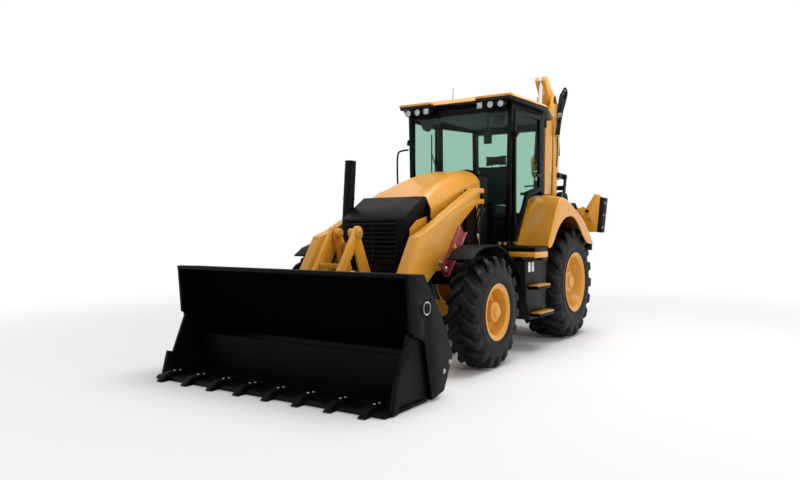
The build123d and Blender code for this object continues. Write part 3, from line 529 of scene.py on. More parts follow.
def carcass(size, centre):
    base, half, bead = size["radius"] - size["lugHeight"], size["half"], size["bead"]
    rise = base - bead
    wall = [(bead, half * 0.82), (bead + 0.012, half * 0.9), (bead + 0.022, half * 0.9),
            (bead + rise * 0.22, half * 0.96), (bead + rise * 0.45, half * 0.99),
            (bead + rise * 0.47, half * 0.975), (bead + rise * 0.66, half * 0.965),
            (bead + rise * 0.84, half * 0.9), (bead + rise * 0.95, half * 0.76),
            (bead + rise * 0.985, half * 0.5), (base, 0)]
    loop = [(radius, reach) for radius, reach in wall]
    loop += [(radius, -reach) for radius, reach in reversed(wall[:-1])]
    return spun(loop, centre, steps=72)


def lug(size, centre, hand):
    radius, half, width = size["radius"], size["half"], size["lugWidth"]
    base = radius - size["lugHeight"] - 0.014
    # share of the half width, run round the tread, top radius, width
    stations = ((0.0, 0.0, 0, 1.0), (0.22, 0.2, 0, 1.0), (0.48, 0.52, 0.001, 1.05),
                (0.7, 0.84, 0.004, 1.15), (0.85, 0.98, 0.012, 1.35), (0.955, 1.03, 0.04, 1.5),
                (0.995, 1.05, 0.085, 1.25))

    def draw(shape):
        rings = []
        for reach, run, drop, wide in stations:
            top = radius - drop
            low = min(base, top - size["lugHeight"] * 0.9)
            ring = []
            for across, level in ((-0.66, 0), (-0.42, 1), (0.42, 1), (0.66, 0)):
                turn = (run * size["slant"] + across * width * wide) / radius
                distance = top if level else low
                inward = 0.955 if reach > 0.9 and not level else 1
                y = hand * half * (0.035 + 0.965 * reach * inward)
                ring.append(shape.verts.new((centre[0] + distance * math.sin(turn),
                                             centre[1] + y,
                                             centre[2] + distance * math.cos(turn))))
            rings.append(ring)
        for first, second in zip(rings, rings[1:]):
            for index in range(4):
                after = (index + 1) % 4
                shape.faces.new((first[index], first[after], second[after], second[index]))
        shape.faces.new(rings[0])
        shape.faces.new(list(reversed(rings[-1])))

    obj = facesOut(drawn("lug", draw))
    return softened(obj, 0.004, 1, 35)


def turnedCopies(obj, centre, count, start=0.0):
    copies = []
    for index in range(count):
        other = obj.copy()
        other.data = obj.data.copy()
        scene.collection.objects.link(other)
        turn = Matrix.Rotation(start + 2 * math.pi * index / count, 4, "Y")
        other.data.transform(Matrix.Translation(centre) @ turn
                             @ Matrix.Translation([-part for part in centre]))
        copies.append(other)
    bpy.data.objects.remove(obj)
    return copies


for end, size in wheels.items():
    centre = mid(size["x"], size["y"], size["radius"])
    pieces = [carcass(size, centre)]
    for hand in (-1, 1):
        pieces += turnedCopies(lug(size, centre, hand), centre, size["lugs"],
                               math.pi / size["lugs"] if hand > 0 else 0)
    tyre = joined(pieces)
    rim = spun(size["rim"], centre, steps=64)
    softened(rim, 0.003, 2, 30)
    nuts = boltHeads([(centre[0], centre[1] + size["boltOut"], centre[2] + size["circle"])],
                     size["boltRadius"], 0.022, (0, 1, 0))
    studs = joined(turnedCopies(nuts, centre, size["bolts"]))
    valve = rod((centre[0] + size["bead"] * 0.8, centre[1] + size["half"] * 0.5, centre[2]),
                (centre[0] + size["bead"] * 0.8, centre[1] + size["half"] * 0.8, centre[2]), 0.005)
    other = {"tyre": mirrorCopy(tyre), "rim": mirrorCopy(rim), "nuts": mirrorCopy(studs),
             "valve": mirrorCopy(valve)}
    near = {"tyre": tyre, "rim": rim, "nuts": studs, "valve": valve}
    for side, group in (("left", near), ("right", other)):
        body = end + "_wheel_" + side
        place(group["tyre"], f"{end}_tyre_{side}_tread", "tyre", body, f"{end}_tyre_{side}",
              slot="tyre")
        place(group["rim"], f"{end}_rim_{side}_dish", "yellowPaint", body, f"{end}_rim_{side}",
              slot="yellow_paint")
        place(group["nuts"], f"{end}_nuts_{side}", "yellowPaint", body, slot="yellow_paint")
        place(group["valve"], f"{end}_valve_{side}", "rubber", body, slot="rubber")
print("wheels made")


# Sheet pieces lofted from sections, then smoothed.
def lofted(sections, thickness, levels=2, crease=()):
    # sections of the same number of points, and a wall that is given inwards
    def draw(shape):
        rows = [[shape.verts.new(mid(*point)) for point in section] for section in sections]
        for first, second in zip(rows, rows[1:]):
            for index in range(len(first) - 1):
                shape.faces.new((first[index], first[index + 1], second[index + 1],
                                 second[index]))
        layer = shape.edges.layers.float.new("crease_edge")
        for edge in shape.edges:
            ends = [next((row.index(v) for row in rows if v in row), None) for v in edge.verts]
            if ends[0] == ends[1] and ends[0] in crease:
                edge[layer] = 0.75

    obj = facesOut(drawn("loft", draw))
    applied(obj, "SUBSURF", levels=levels, render_levels=levels)
    applied(obj, "SOLIDIFY", thickness=thickness, offset=-1)
    return smooth(obj, 40)


hood = {"half": 0.4, "wall": 0.01, "slot": "yellow_paint",
        # x, seam height, shoulder height, crown half width, crown height, bulge
        "stations": ((2.222, 1.362, 1.492, 0.326, 1.597, 0.0),
                     (2.05, 1.374, 1.543, 0.3, 1.675, 0.0),
                     (1.85, 1.388, 1.6, 0.268, 1.757, 0.0),
                     (1.62, 1.428, 1.668, 0.258, 1.83, 0.3),
                     (1.4, 1.468, 1.72, 0.252, 1.89, 1.0),
                     (1.165, 1.508, 1.77, 0.236, 1.934, 1.0))}


def hoodRow(x, seam, shoulder, crownHalf, crown, bulge):
    half = hood["half"]
    side = [(half, seam), (half, seam + 0.03), (half, shoulder - 0.03 + 0.01 * bulge),
            (half - 0.012 + 0.01 * bulge, shoulder + 0.004 + 0.03 * bulge),
            (crownHalf + (half - crownHalf) * 0.5 + 0.03 * bulge,
             shoulder + (crown - shoulder) * 0.54 + 0.022 * bulge),
            (crownHalf + 0.012 + 0.01 * bulge, crown - 0.016), (crownHalf - 0.02, crown - 0.002),
            (crownHalf * 0.55, crown + 0.003), (crownHalf * 0.5, crown - 0.003)]
    right = [(x, -y, z) for y, z in side]
    return right + [(x, 0, crown - 0.002)] + [(x, y, z) for y, z in reversed(side)]


shell = lofted([hoodRow(*station) for station in hood["stations"]], hood["wall"],
               crease=(3, 15, 7, 11))
place(shell, "hood_shell", "yellowPaint", "hood", "hood", slot=hood["slot"])
for hand in (-1, 1):              # hinge lugs that the hood keeps
    ear = slab([(1.168, 1.926), (1.202, 1.922), (1.206, 1.884), (1.168, 1.88)],
               hand * 0.17, 0.012, 0.002)
    place(ear, "hood_ear_" + ("left" if hand > 0 else "right"), "yellowPaint", "hood",
          slot="yellow_paint")

nose = {"half": 0.352, "rows": 9, "low": 0.985, "step": 0.043}
dressed("nose_cover", "blackPaint", 0.006, slot="black_paint")
slats = []
for row in range(nose["rows"]):
    z = nose["low"] + row * nose["step"]
    slats.append(slab([(2.612, z + 0.012), (2.618, z + 0.016), (2.655, z - 0.002),
                       (2.652, z - 0.012), (2.612, z - 0.004)], 0, 0.56, 0.002))
place(joined(slats), "grille_slats", "blackPlastic", "chassis", slot="black_plastic")
# the sloping top of the nose stays bare

trim = []
for hand in (-1, 1):              # yellow side of the nose behind the black frame
    panel = slab([(2.235, 0.955), (2.56, 0.955), (2.545, 1.28), (2.42, 1.36), (2.235, 1.4)],
                 hand * 0.356, 0.008, 0.003)
    trim.append(panel)
place(joined(trim), "nose_side_panels", "yellowPaint", "chassis", slot="yellow_paint")
gap = [cube(mid(2.2225, -0.345, 1.36), mid(2.231, 0.345, 1.575), 0.001)]
place(joined(gap), "hood_nose_seal", "rubber", "chassis", slot="rubber")
screen = {"half": 0.285, "low": 0.955, "high": 1.345, "pitch": 0.02}
wires = []
for index in range(int(2 * screen["half"] / screen["pitch"]) + 1):
    y = -screen["half"] + index * screen["pitch"]
    wires.append(rod(mid(2.6, y, screen["low"]), mid(2.6, y, screen["high"]), 0.0022, 6))
place(joined(wires), "grille_screen", "blackPaint", "chassis", slot="black_paint")

fender = {"in": 0.592, "mid": 0.735, "out": 1.148, "wall": 0.01,
          "crownIn": ((0.76, 1.1), (0.66, 1.235), (0.52, 1.39), (0.41, 1.52), (0.3, 1.61),
                      (0.18, 1.672), (0.03, 1.698), (-0.13, 1.698), (-0.235, 1.66),
                      (-0.32, 1.585), (-0.41, 1.46), (-0.49, 1.335), (-0.53, 1.22),
                      (-0.548, 1.1)),
          "crownOut": ((1.045, 1.1), (0.985, 1.21), (0.9, 1.335), (0.83, 1.45), (0.755, 1.56),
                       (0.68, 1.622), (0.585, 1.636), (0.46, 1.622), (0.34, 1.594),
                       (0.22, 1.55), (0.08, 1.498), (-0.11, 1.44), (-0.33, 1.3),
                       (-0.548, 1.1))}


def fenderRow(share, y, drop=0.0):
    return [(a[0] + (b[0] - a[0]) * share, y, max(1.098, a[1] + (b[1] - a[1]) * share - drop))
            for a, b in zip(fender["crownIn"], fender["crownOut"])]


lip = ((1.045, 1.075), (0.97, 1.085), (0.905, 1.13), (0.845, 1.2), (0.77, 1.275), (0.68, 1.34),
       (0.58, 1.39), (0.48, 1.42), (0.36, 1.43), (0.24, 1.425), (0.12, 1.38), (-0.03, 1.27),
       (-0.18, 1.16), (-0.3, 1.1))
rows = [fenderRow(0, fender["in"]), fenderRow(0, fender["mid"] - 0.02),
        fenderRow(0.12, fender["mid"] + 0.05), fenderRow(0.5, 0.94), fenderRow(0.88, 1.1),
        fenderRow(0.985, 1.132, 0.008), fenderRow(1.0, fender["out"], 0.03),
        [(x, fender["out"], z) for x, z in lip]]
shell = lofted(rows, fender["wall"], levels=2)
place(joined([shell, mirrorCopy(shell)]), "rear_fender_shells", "yellowPaint", "chassis",
      "rear_fenders", slot="yellow_paint")
print("hood, nose and fenders made")


# Nodes whose own shape is right get their edges eased.
eased = {
    "loader_arms": ("yellowPaint", 0.01), "tilt_lever": ("yellowPaint", 0.004),
    "tilt_link": ("yellowPaint", 0.005), "boom": ("yellowPaint", 0.009),
    "stick": ("yellowPaint", 0.008), "swing_post": ("blackPaint", 0.005),
    "stabiliser_left": ("yellowPaint", 0.005), "stabiliser_right": ("yellowPaint", 0.005),
    "bucket_lever": ("blackPaint", 0.003), "bucket_link": ("blackPaint", 0.003),
    "loader_bucket": ("bucketPaint", 0.004),
    "bucket_jaw": ("bucketPaint", 0.004), "hoe_bucket": ("bucketPaint", 0.004),
    "main_frame": ("blackPaint", 0.003), "platform": ("blackPaint", 0.005),
    "tanks": ("blackPlastic", 0.014), "side_panels": ("yellowPaint", 0.003),
    "cab_frame": ("blackPaint", 0.006), "door_left": ("blackPaint", 0.005),
    "door_right": ("blackPaint", 0.005), "front_fenders": ("bucketPaint", 0.004),
    "axles": ("yellowPaint", 0.006), "knuckle_left": ("yellowPaint", 0.005),
    "knuckle_right": ("yellowPaint", 0.005), "engine": ("castIron", 0.01),
    "stabiliser_pad_left": ("rubber", 0.006), "stabiliser_pad_right": ("rubber", 0.006),
    "lift_barrel": ("blackPaint", 0.002), "tilt_barrel": ("blackPaint", 0.002),
    "boom_cylinder_barrel": ("blackPaint", 0.002), "stick_cylinder_barrel": ("blackPaint", 0.002),
    "bucket_cylinder_barrel": ("blackPaint", 0.002),
    "stabiliser_barrel_left": ("blackPaint", 0.002),
    "stabiliser_barrel_right": ("blackPaint", 0.002),
}
for node, (finish, bevel) in eased.items():
    dressed(node, finish, bevel)
print("edges eased on", len(eased), "nodes")

# Loader: pins, bolts, wear plates, hoses and the arm's lock.
loader = {"half": 1.203, "jawPin": (3.693, 0.7), "teeth": 8, "pitch": 0.296,
          "ringProfile": [(0.05, 0), (0.05, 0.014), (0.036, 0.014), (0.03, 0.004), (0.03, 0)],
          "sideBolts": ((3.328, 0.255), (3.418, 0.2)), "boltR": 0.014,
          "rib": [(3.70, 0.925), (3.925, 0.936), (3.925, 0.952), (3.712, 0.945)],
          "pad": [(3.70, 0.5), (3.72, 0.62), (3.80, 0.63), (3.86, 0.55), (3.86, 0.51)],
          "wearEdge": [(3.63, 0.012), (3.66, 0.035), (4.07, 0.035), (4.1, 0.012)],
          "cutting": [(4.02, 0.034), (4.03, 0.046), (4.165, 0.03), (4.178, 0.014),
                      (4.16, 0.012)],
          "shank": [(3.98, 0.04), (4.0, 0.062), (4.13, 0.074), (4.16, 0.06), (4.15, 0.04)],
          "rowBolts": 15, "rowPitch": 0.155, "topEdge": (1.19, 0.945), "hoseR": 0.009,
          # pin centre, outer face, radius, thickness, finish, name, body
          "pins": (((3.2, 0.33), 0.6, 0.062, 0.012, "yellowPaint", "hinge", "loader_arms"),
                   ((1.54, 1.62), 0.598, 0.03, 0.012, "yellowPaint", "arm_pivot", "loader_arms"),
                   ((3.06, 1.24), 0.147, 0.05, 0.01, "yellowPaint", "apex", "tilt_link"),
                   ((3.42, 0.76), 0.147, 0.042, 0.008, "yellowPaint", "link", "tilt_link"),
                   ((2.84, 0.81), 0.14, 0.036, 0.006, "yellowPaint", "lever", "loader_arms"),
                   ((2.4, 0.96), 0.6, 0.034, 0.006, "zinc", "lift_eye", "loader_arms"))}


def pinCap(point, y, radius, out, finish, name, body, depth=0.012):
    # a collar, an end plate and three screws on a pin's end
    hand = 1 if out > 0 else -1
    x, z = point
    collar = rod(mid(x, y, z), mid(x, y + hand * depth, z), radius, 32, 0.0025)
    plate = rod(mid(x, y, z), mid(x, y + hand * depth * 1.5, z), radius * 0.62, 24, 0.002)
    place(joined([collar, plate]), name, finish, body)
    spots = [mid(x + radius * 0.36 * math.cos(turn), y + hand * depth * 1.5,
                 z + radius * 0.36 * math.sin(turn)) for turn in (0.5, 2.6, 4.7)]
    place(boltHeads(spots, radius * 0.13, radius * 0.1, (0, hand, 0)), name + "_screws",
          "zinc", body)


for hand, side in sides:
    x, z = loader["jawPin"]
    ring = spun(loader["ringProfile"], mid(x, hand * 1.205, z), 40, hand)
    place(ring, "jaw_pin_ring_" + side, "pin", "loader_bucket")
    cap = rod(mid(x, hand * 1.2, z), mid(x, hand * 1.216, z), 0.026, 24, 0.003)
    place(cap, "jaw_pin_cap_" + side, "blackPaint", "bucket_jaw")
    boltSpots = [mid(x, hand * loader["half"], z) for x, z in loader["sideBolts"]]
    place(boltHeads(boltSpots, loader["boltR"], 0.012, (0, hand, 0)), "side_bolts_" + side,
          "zinc", "loader_bucket")
    rib = slab(loader["rib"], hand * (loader["half"] - 0.012), 0.034, 0.003)
    place(rib, "side_rib_" + side, "bucketPaint", "loader_bucket")
    patch = slab(loader["pad"], hand * 1.199, 0.012, 0.004)
    place(patch, "side_pad_" + side, "bucketPaint", "loader_bucket")
    edge = slab(loader["wearEdge"], hand * 1.176, 0.016, 0.003)
    place(edge, "jaw_side_wear_" + side, "bucketPaint", "bucket_jaw")
    for spot, face, radius, depth, finish, name, body in loader["pins"]:
        pinCap(spot, hand * face, radius, hand, finish, f"{name}_cap_{side}", body, depth)

place(slab(loader["cutting"], 0, 2.3, 0.002), "cutting_edge", "bucketPaint", "bucket_jaw")
toothBolts, shanks = [], []
for index in range(loader["teeth"]):
    y = (index - (loader["teeth"] - 1) / 2) * loader["pitch"]
    shanks.append(slab(loader["shank"], y, 0.074, 0.006))
    toothBolts += [mid(4.03, y, 0.062), mid(4.09, y, 0.068)]
place(joined(shanks), "tooth_shanks", "bucketPaint", "bucket_jaw")
place(boltHeads(toothBolts, 0.013, 0.009, (-0.1, 0, 1)), "tooth_bolts", "zinc", "bucket_jaw")
rowBolts = []
for index in range(loader["rowBolts"]):
    y = (index - loader["rowBolts"] // 2) * loader["rowPitch"]
    rowBolts += [mid(3.555, y, 0.69), mid(3.655, y, 0.815)]
place(boltHeads(rowBolts, 0.011, 0.012, (0.78, 0, -0.62)), "mould_bolts", "bucketPaint",
      "loader_bucket")
reach, top = loader["topEdge"]
topBar = hose([mid(3.9, -reach, top), mid(3.905, 0, top + 0.001), mid(3.9, reach, top)], 0.011)
place(topBar, "top_edge_bar", "bucketPaint", "loader_bucket")

lock = {"start": (2.0, 1.275), "end": (2.36, 0.865), "width": 0.055, "y": 0.612,
        "face": 0.022, "lip": 0.3, "lipOut": 0.024, "lipWide": 0.046,
        "mark": (2.15, 1.105), "pin": (2.335, 0.9)}
run = Vector((lock["end"][0] - lock["start"][0], 0, lock["end"][1] - lock["start"][1]))
run.normalize()
offside = Vector((run.z, 0, -run.x)) * lock["width"]
corners = []
for foot, sign in ((lock["start"], 1), (lock["end"], 1), (lock["end"], -1), (lock["start"], -1)):
    corners.append((foot[0] + sign * offside.x, foot[1] + sign * offside.z))
place(slab(corners, lock["y"], lock["face"], 0.006), "arm_lock_face", "maroonPaint",
      "loader_arms")
lip = [(x - offside.x * lock["lip"], z - offside.z * lock["lip"])
       for x, z in reversed(corners[:2])]
place(slab(corners[:2] + lip, lock["y"] + lock["lipOut"], lock["lipWide"], 0.005),
      "arm_lock_flange", "maroonPaint", "loader_arms")
x, z = lock["mark"]
place(slab([(x - 0.024, z - 0.006), (x + 0.004, z - 0.032), (x + 0.028, z + 0.004),
            (x, z + 0.03)], lock["y"] + 0.012, 0.004, 0.001), "arm_lock_mark", "yellowPaint",
      "loader_arms")
pinCap(lock["pin"], lock["y"] + 0.01, 0.03, 1, "pin", "arm_lock_pin", "loader_arms", 0.012)

hoses = {"first": 0.452, "gap": 0.03, "radius": 0.0115, "count": 3}
for hand, side in sides:
    lines, fittings = [], []
    for index in range(hoses["count"]):
        shift = hoses["gap"] * index
        y = hand * (hoses["first"] + shift)
        lines.append(hose([mid(1.27, y, 1.56 - shift), mid(1.36, y, 1.44), mid(1.4, y, 1.3),
                           mid(1.38 + shift, y, 1.15), mid(1.36 + shift, y, 0.98),
                           mid(1.3, y, 0.92)], hoses["radius"]))
        fittings.append(rod(mid(1.385 + shift, y, 1.23), mid(1.38 + shift, y, 1.17), 0.015, 6,
                            0.002))
    place(joined(lines), "tower_hoses_" + side, "rubber", "chassis", slot="rubber")
    place(joined(fittings), "tower_fittings_" + side, "zinc", "chassis")
    armLine = hose([mid(1.66, hand * 0.488, 1.585), mid(1.9, hand * 0.488, 1.46),
                    mid(2.3, hand * 0.488, 1.25), mid(2.55, hand * 0.488, 1.1),
                    mid(2.66, hand * 0.488, 0.9)], loader["hoseR"])
    place(armLine, "arm_line_" + side, "blackPaint", "loader_arms", slot="black_paint")
tiltHoses = [hose([mid(2.72, y, 0.44), mid(2.62, y, 0.55), mid(2.6, y, 0.72),
                   mid(2.63, y, 0.84), mid(2.66, y * 2.2, 0.9)], loader["hoseR"])
             for y in (-0.035, 0.035)]
place(joined(tiltHoses), "tilt_hoses", "rubber", "loader_arms", slot="rubber")
print("loader dressed")


# Cab: lamps, seat, wheel, rails, wiper and trim.
cab = {"lampYs": (0.346, 0.47, 0.595), "lampX": 1.04, "lampZ": 2.655, "lampR": 0.042,
       "squareLamp": 0.039, "glassHalf": 0.031, "bowlR": 0.018, "bowlMouthR": 0.034,
       "lensR": 0.036,
       "wheel": (0.6, 0.0, 1.84), "wheelR": 0.181, "grip": 0.0185, "wheelLean": -45,
       # foot of each lever and how far its top leans along the machine
       "levers": ((0.3, -0.4, 1.56, 0.02), (0.36, -0.44, 1.53, 0.03),
                  (-0.12, -0.4, 1.69, -0.05), (-0.12, -0.46, 1.69, -0.05),
                  (0.7, 0.12, 1.42, -0.04), (0.7, -0.12, 1.42, -0.04)),
       "seatX": 0.15, "railR": 0.011,
       "rails": (((0.925, 0.668, 2.22), (0.985, 0.69, 2.215), (0.985, 0.69, 2.1),
                  (0.975, 0.68, 1.7), (0.975, 0.675, 1.42), (0.92, 0.64, 1.41)),
                 ((0.925, -0.668, 2.24), (0.97, -0.75, 2.235), (0.975, -0.8, 2.2),
                  (0.975, -0.8, 1.95), (0.975, -0.79, 1.72), (0.94, -0.66, 1.66))),
       "wiperArm": ((0.925, -0.05, 1.2), (0.928, -0.1, 1.5), (0.925, -0.25, 1.9),
                    (0.916, -0.36, 2.2))}
housings, bowls, lenses = [], [], []
for hand in (-1, 1):
    housings.append(sideBlock((0.967, 1.03), (0.302, 0.638), (2.642, 2.699), hand, 0.01, 3))
    for index, y in enumerate(cab["lampYs"]):
        spot = mid(cab["lampX"], hand * y, cab["lampZ"])
        if index == 0:            # the inner lamp is square
            size, glass = cab["squareLamp"], cab["glassHalf"]
            for group, half, back, front, bevel in ((housings, size, -0.02, 0.02, 0.008),
                                                    (bowls, glass, 0.01, 0.0215, 0.004),
                                                    (lenses, glass, 0.0215, 0.0235, 0.0008)):
                group.append(cube((spot[0] + back, spot[1] - half, spot[2] - half),
                                  (spot[0] + front, spot[1] + half, spot[2] + half), bevel,
                                  3 if group is housings else 2))
            continue
        deselect()
        bpy.ops.mesh.primitive_cylinder_add(vertices=40, radius=cab["lampR"], depth=0.045,
                                            location=(spot[0] - 0.005, spot[1], spot[2]),
                                            rotation=(0, math.pi / 2, 0))
        body = settle(active())
        bpy.ops.object.mode_set(mode="EDIT")
        bpy.ops.mesh.select_all(action="DESELECT")
        bpy.ops.object.mode_set(mode="OBJECT")
        for face in body.data.polygons:
            face.select = face.normal.x > 0.9
        bpy.ops.object.mode_set(mode="EDIT")
        bpy.ops.mesh.select_mode(type="FACE")
        bpy.ops.mesh.inset(thickness=0.006)
        bpy.ops.mesh.extrude_region_move(TRANSFORM_OT_translate={"value": (-0.012, 0, 0)})
        bpy.ops.mesh.inset(thickness=0.012)
        bpy.ops.mesh.extrude_region_move(TRANSFORM_OT_translate={"value": (-0.01, 0, 0)})
        bpy.ops.object.mode_set(mode="OBJECT")
        housings.append(softened(body, 0.002, 2, 40))
        bowls.append(rod((spot[0] - 0.004, spot[1], spot[2]),
                         (spot[0] + 0.004, spot[1], spot[2]), cab["bowlR"], 24,
                         tip=cab["bowlMouthR"]))
        lenses.append(rod((spot[0] + 0.0105, spot[1], spot[2]),
                          (spot[0] + 0.0125, spot[1], spot[2]), cab["lensR"], 32))
    housings.append(sideBlock((-0.57, -0.535), (0.38, 0.52), (2.602, 2.689), hand, 0.008, 3))
    bowls.append(sideBlock((-0.574, -0.568), (0.395, 0.505), (2.615, 2.676), hand, 0.003))
    lenses.append(sideBlock((-0.577, -0.5745), (0.395, 0.505), (2.615, 2.676), hand, 0.001))
place(joined(housings), "lamp_housings", "blackPlastic", "chassis", "work_lamps",
      slot="black_plastic")
place(joined(bowls), "lamp_bowls", "reflector", "chassis", slot="lamp")
place(joined(lenses), "lamp_lenses", "lens", "chassis", slot="lamp")

dressed("controls", "blackPlastic", 0.006)
deselect()
bpy.ops.mesh.primitive_torus_add(location=mid(*cab["wheel"]), major_radius=cab["wheelR"],
                                 minor_radius=cab["grip"], major_segments=64,
                                 minor_segments=16,
                                 rotation=(0, math.radians(cab["wheelLean"]), 0))
place(smooth(settle(active())), "steering_grip", "rubber", "chassis", slot="black_plastic")
levers, knobs = [], []
for x, y, z, lean in cab["levers"]:
    levers.append(hose([mid(x, y, z), mid(x, y, z + 0.1), mid(x + lean, y, z + 0.2)], 0.007))
    deselect()
    bpy.ops.mesh.primitive_uv_sphere_add(radius=0.024, segments=20, ring_count=12,
                                         location=mid(x + lean, y, z + 0.21))
    knob = settle(active())
    for point in knob.data.vertices:
        point.co.z += 0.012 if point.co.z > z + 0.215 else 0
    knobs.append(smooth(knob))
place(joined(levers), "levers", "zinc", "chassis")
place(joined(knobs), "lever_knobs", "blackPlastic", "chassis", slot="black_plastic")


def cushion(low, high, crown, name):
    # a crowned pad: its middle stands up and its sides pull in between the corners
    deselect()
    size = [b - a for a, b in zip(low, high)]
    middle = [(a + b) / 2 for a, b in zip(low, high)]
    bpy.ops.mesh.primitive_cube_add(size=1, location=middle)
    pad = active()
    pad.scale = size
    settle(pad)
    bpy.ops.object.mode_set(mode="EDIT")
    bpy.ops.mesh.select_all(action="SELECT")
    bpy.ops.mesh.subdivide(number_cuts=7)
    bpy.ops.object.mode_set(mode="OBJECT")
    thin = size.index(min(size))
    for point in pad.data.vertices:
        share = [(point.co[i] - middle[i]) / (size[i] / 2) for i in range(3)]
        across = [share[i] for i in range(3) if i != thin]
        rise = (1 - across[0] ** 2) * (1 - across[1] ** 2)
        point.co[thin] += math.copysign(crown * rise, share[thin]) * abs(share[thin])
        for i in range(3):
            if i != thin:
                other = across[0] if share[i] is across[1] else across[1]
                point.co[i] -= 0.012 * share[i] * (1 - other ** 2)
        groove = abs(abs(across[1]) - 0.5)
        if groove < 0.07 and abs(share[thin]) > 0.9:
            point.co[thin] -= math.copysign(0.008, share[thin])
    applied(pad, "BEVEL", width=0.012, segments=2, limit_method="ANGLE",
            angle_limit=math.radians(50))
    applied(pad, "SUBSURF", levels=1, render_levels=1)
    smooth(pad, 60)
    pad.name = name
    return pad


sx = cab["seatX"]
seatPads = {
    "seat_cushion": (cushion(mid(sx - 0.22, -0.23, 1.47), mid(sx + 0.26, 0.23, 1.575), 0.02,
                             "seat_cushion"), 0.7),
    "seat_back": (cushion(mid(sx - 0.33, -0.22, 1.585), mid(sx - 0.215, 0.22, 2.09), 0.018,
                          "seat_back"), 0.7),
    "seat_headrest": (cushion(mid(sx - 0.335, -0.13, 2.105), mid(sx - 0.24, 0.13, 2.225), 0.01,
                              "seat_headrest"), 0.75),
}
base = joined([cube(mid(sx - 0.15, -0.17, 1.096), mid(sx + 0.15, 0.17, 1.4), 0.015, 3),
               cube(mid(sx - 0.23, -0.2, 1.4), mid(sx + 0.22, 0.2, 1.47), 0.02, 3),
               rod(mid(sx - 0.29, -0.06, 2.06), mid(sx - 0.29, -0.06, 2.14), 0.006),
               rod(mid(sx - 0.29, 0.06, 2.06), mid(sx - 0.29, 0.06, 2.14), 0.006),
               cube(mid(sx - 0.28, -0.235, 1.45), mid(sx - 0.2, -0.215, 1.75), 0.006),
               cube(mid(sx - 0.28, 0.215, 1.45), mid(sx - 0.2, 0.235, 1.75), 0.006)])
place(base, "seat_base", "blackPlastic", "chassis", "seat", slot="black_plastic")
for name, (pad, fill) in seatPads.items():
    place(pad, name, "fabric", "chassis", slot="seat_fabric")

rails = [hose([mid(*point) for point in points], cab["railR"]) for points in cab["rails"]]
place(joined(rails), "cab_rails", "blackPaint", "chassis", slot="black_paint")
wiper = joined([hose([mid(*point) for point in cab["wiperArm"]], 0.007),
                cube(mid(0.9, -0.365, 1.75), mid(0.909, -0.352, 2.4), 0.002),
                rod(mid(0.9, -0.05, 1.2), mid(0.94, -0.05, 1.2), 0.02, 20, 0.003)])
place(wiper, "wiper", "blackPlastic", "chassis", slot="black_plastic")
speakers = []
for hand in (-1, 1):
    speakers.append(rod(mid(0.79, hand * 0.47, 2.56), mid(0.84, hand * 0.47, 2.5), 0.062, 28,
                        0.006))
    speakers.append(sideBlock((0.7, 0.86), (0.34, 0.56), (2.56, 2.64), hand, 0.02, 3))
roofLining = cube(mid(-0.46, -0.52, 2.64), mid(0.85, 0.52, 2.685), 0.02, 3)
place(joined(speakers + [roofLining]), "roof_lining", "grey", "chassis", slot="black_plastic")
antenna = joined([rod(mid(0.5, -0.3, 2.795), mid(0.5, -0.3, 2.82), 0.014, 16, 0.003),
                  rod(mid(0.5, -0.3, 2.81), mid(0.47, -0.3, 3.02), 0.004, 8)])
place(antenna, "antenna", "blackPlastic", "chassis", slot="black_plastic")
steps = {"treads": ((0.91, 1.27, 0.69), (0.8, 1.21, 0.4)),     # rear end, front end, height
         "reach": (1.012, 1.118), "ribs": 9, "ribWide": 0.014,
         "edges": (((1.065, 1.42), (1.132, 1.146), (0.985, 1.045)),
                   ((1.41, 1.428), (0.86, 1.146), (0.995, 1.045)))}
for hand, side in sides:
    grab = joined([sideBlock((0.19, 0.33), (0.728, 0.742), (1.9, 1.93), hand, 0.005),
                   sideBlock((0.2, 0.225), (0.715, 0.732), (1.895, 1.935), hand, 0.003),
                   rod(mid(0.3, hand * 0.713, 1.915), mid(0.3, hand * 0.74, 1.915), 0.016, 20,
                       0.003)])
    place(grab, "door_handle_" + side, "blackPlastic", "door_" + side, slot="black_plastic")
    inside = hose([mid(0.2, hand * 0.66, 1.8), mid(0.2, hand * 0.6, 1.8),
                   mid(0.42, hand * 0.6, 1.78), mid(0.44, hand * 0.655, 1.78)], 0.01)
    place(inside, "door_pull_" + side, "blackPlastic", "door_" + side, slot="black_plastic")
    signals = rod(mid(1.38, hand * 0.8, 1.125), mid(1.4, hand * 0.8, 1.125), 0.016, 24,
                  0.004)
    place(signals, "front_signal_" + side, "amber", "chassis", slot="lamp")
    marker = rod(mid(1.38, hand * 0.74, 1.125), mid(1.4, hand * 0.74, 1.125), 0.016, 24, 0.004)
    place(marker, "front_marker_" + side, "greenGrey", "chassis", slot="lamp")
    carrier = sideBlock((1.36, 1.382), (0.7, 0.84), (1.09, 1.15), hand, 0.005)
    place(carrier, "signal_carrier_" + side, "blackPlastic", "chassis", slot="black_plastic")
    bars = joined([sideBlock((x, x + 0.062), (1.009, 1.0135), (0.832, 0.935), hand, 0.0015)
                   for x in (1.12, 1.215)])
    place(bars, "tank_reflectors_" + side, "white", "chassis")
    treads = []
    for rear, front, top in steps["treads"]:
        treads.append(sideBlock((rear, front), steps["reach"], (top - 0.006, top + 0.006), hand,
                                0.003))
        for index in range(steps["ribs"]):
            x = rear + 0.02 + index * (front - rear - 0.055) / (steps["ribs"] - 1)
            treads.append(sideBlock((x, x + steps["ribWide"]), (1.022, 1.108),
                                    (top + 0.003, top + 0.012), hand, 0.002, 1))
    treads += [sideBlock(x, y, z, hand, 0.004) for x, y, z in steps["edges"]]
    place(joined(treads), "step_treads_" + side, "yellowPaint", "chassis", slot="yellow_paint")

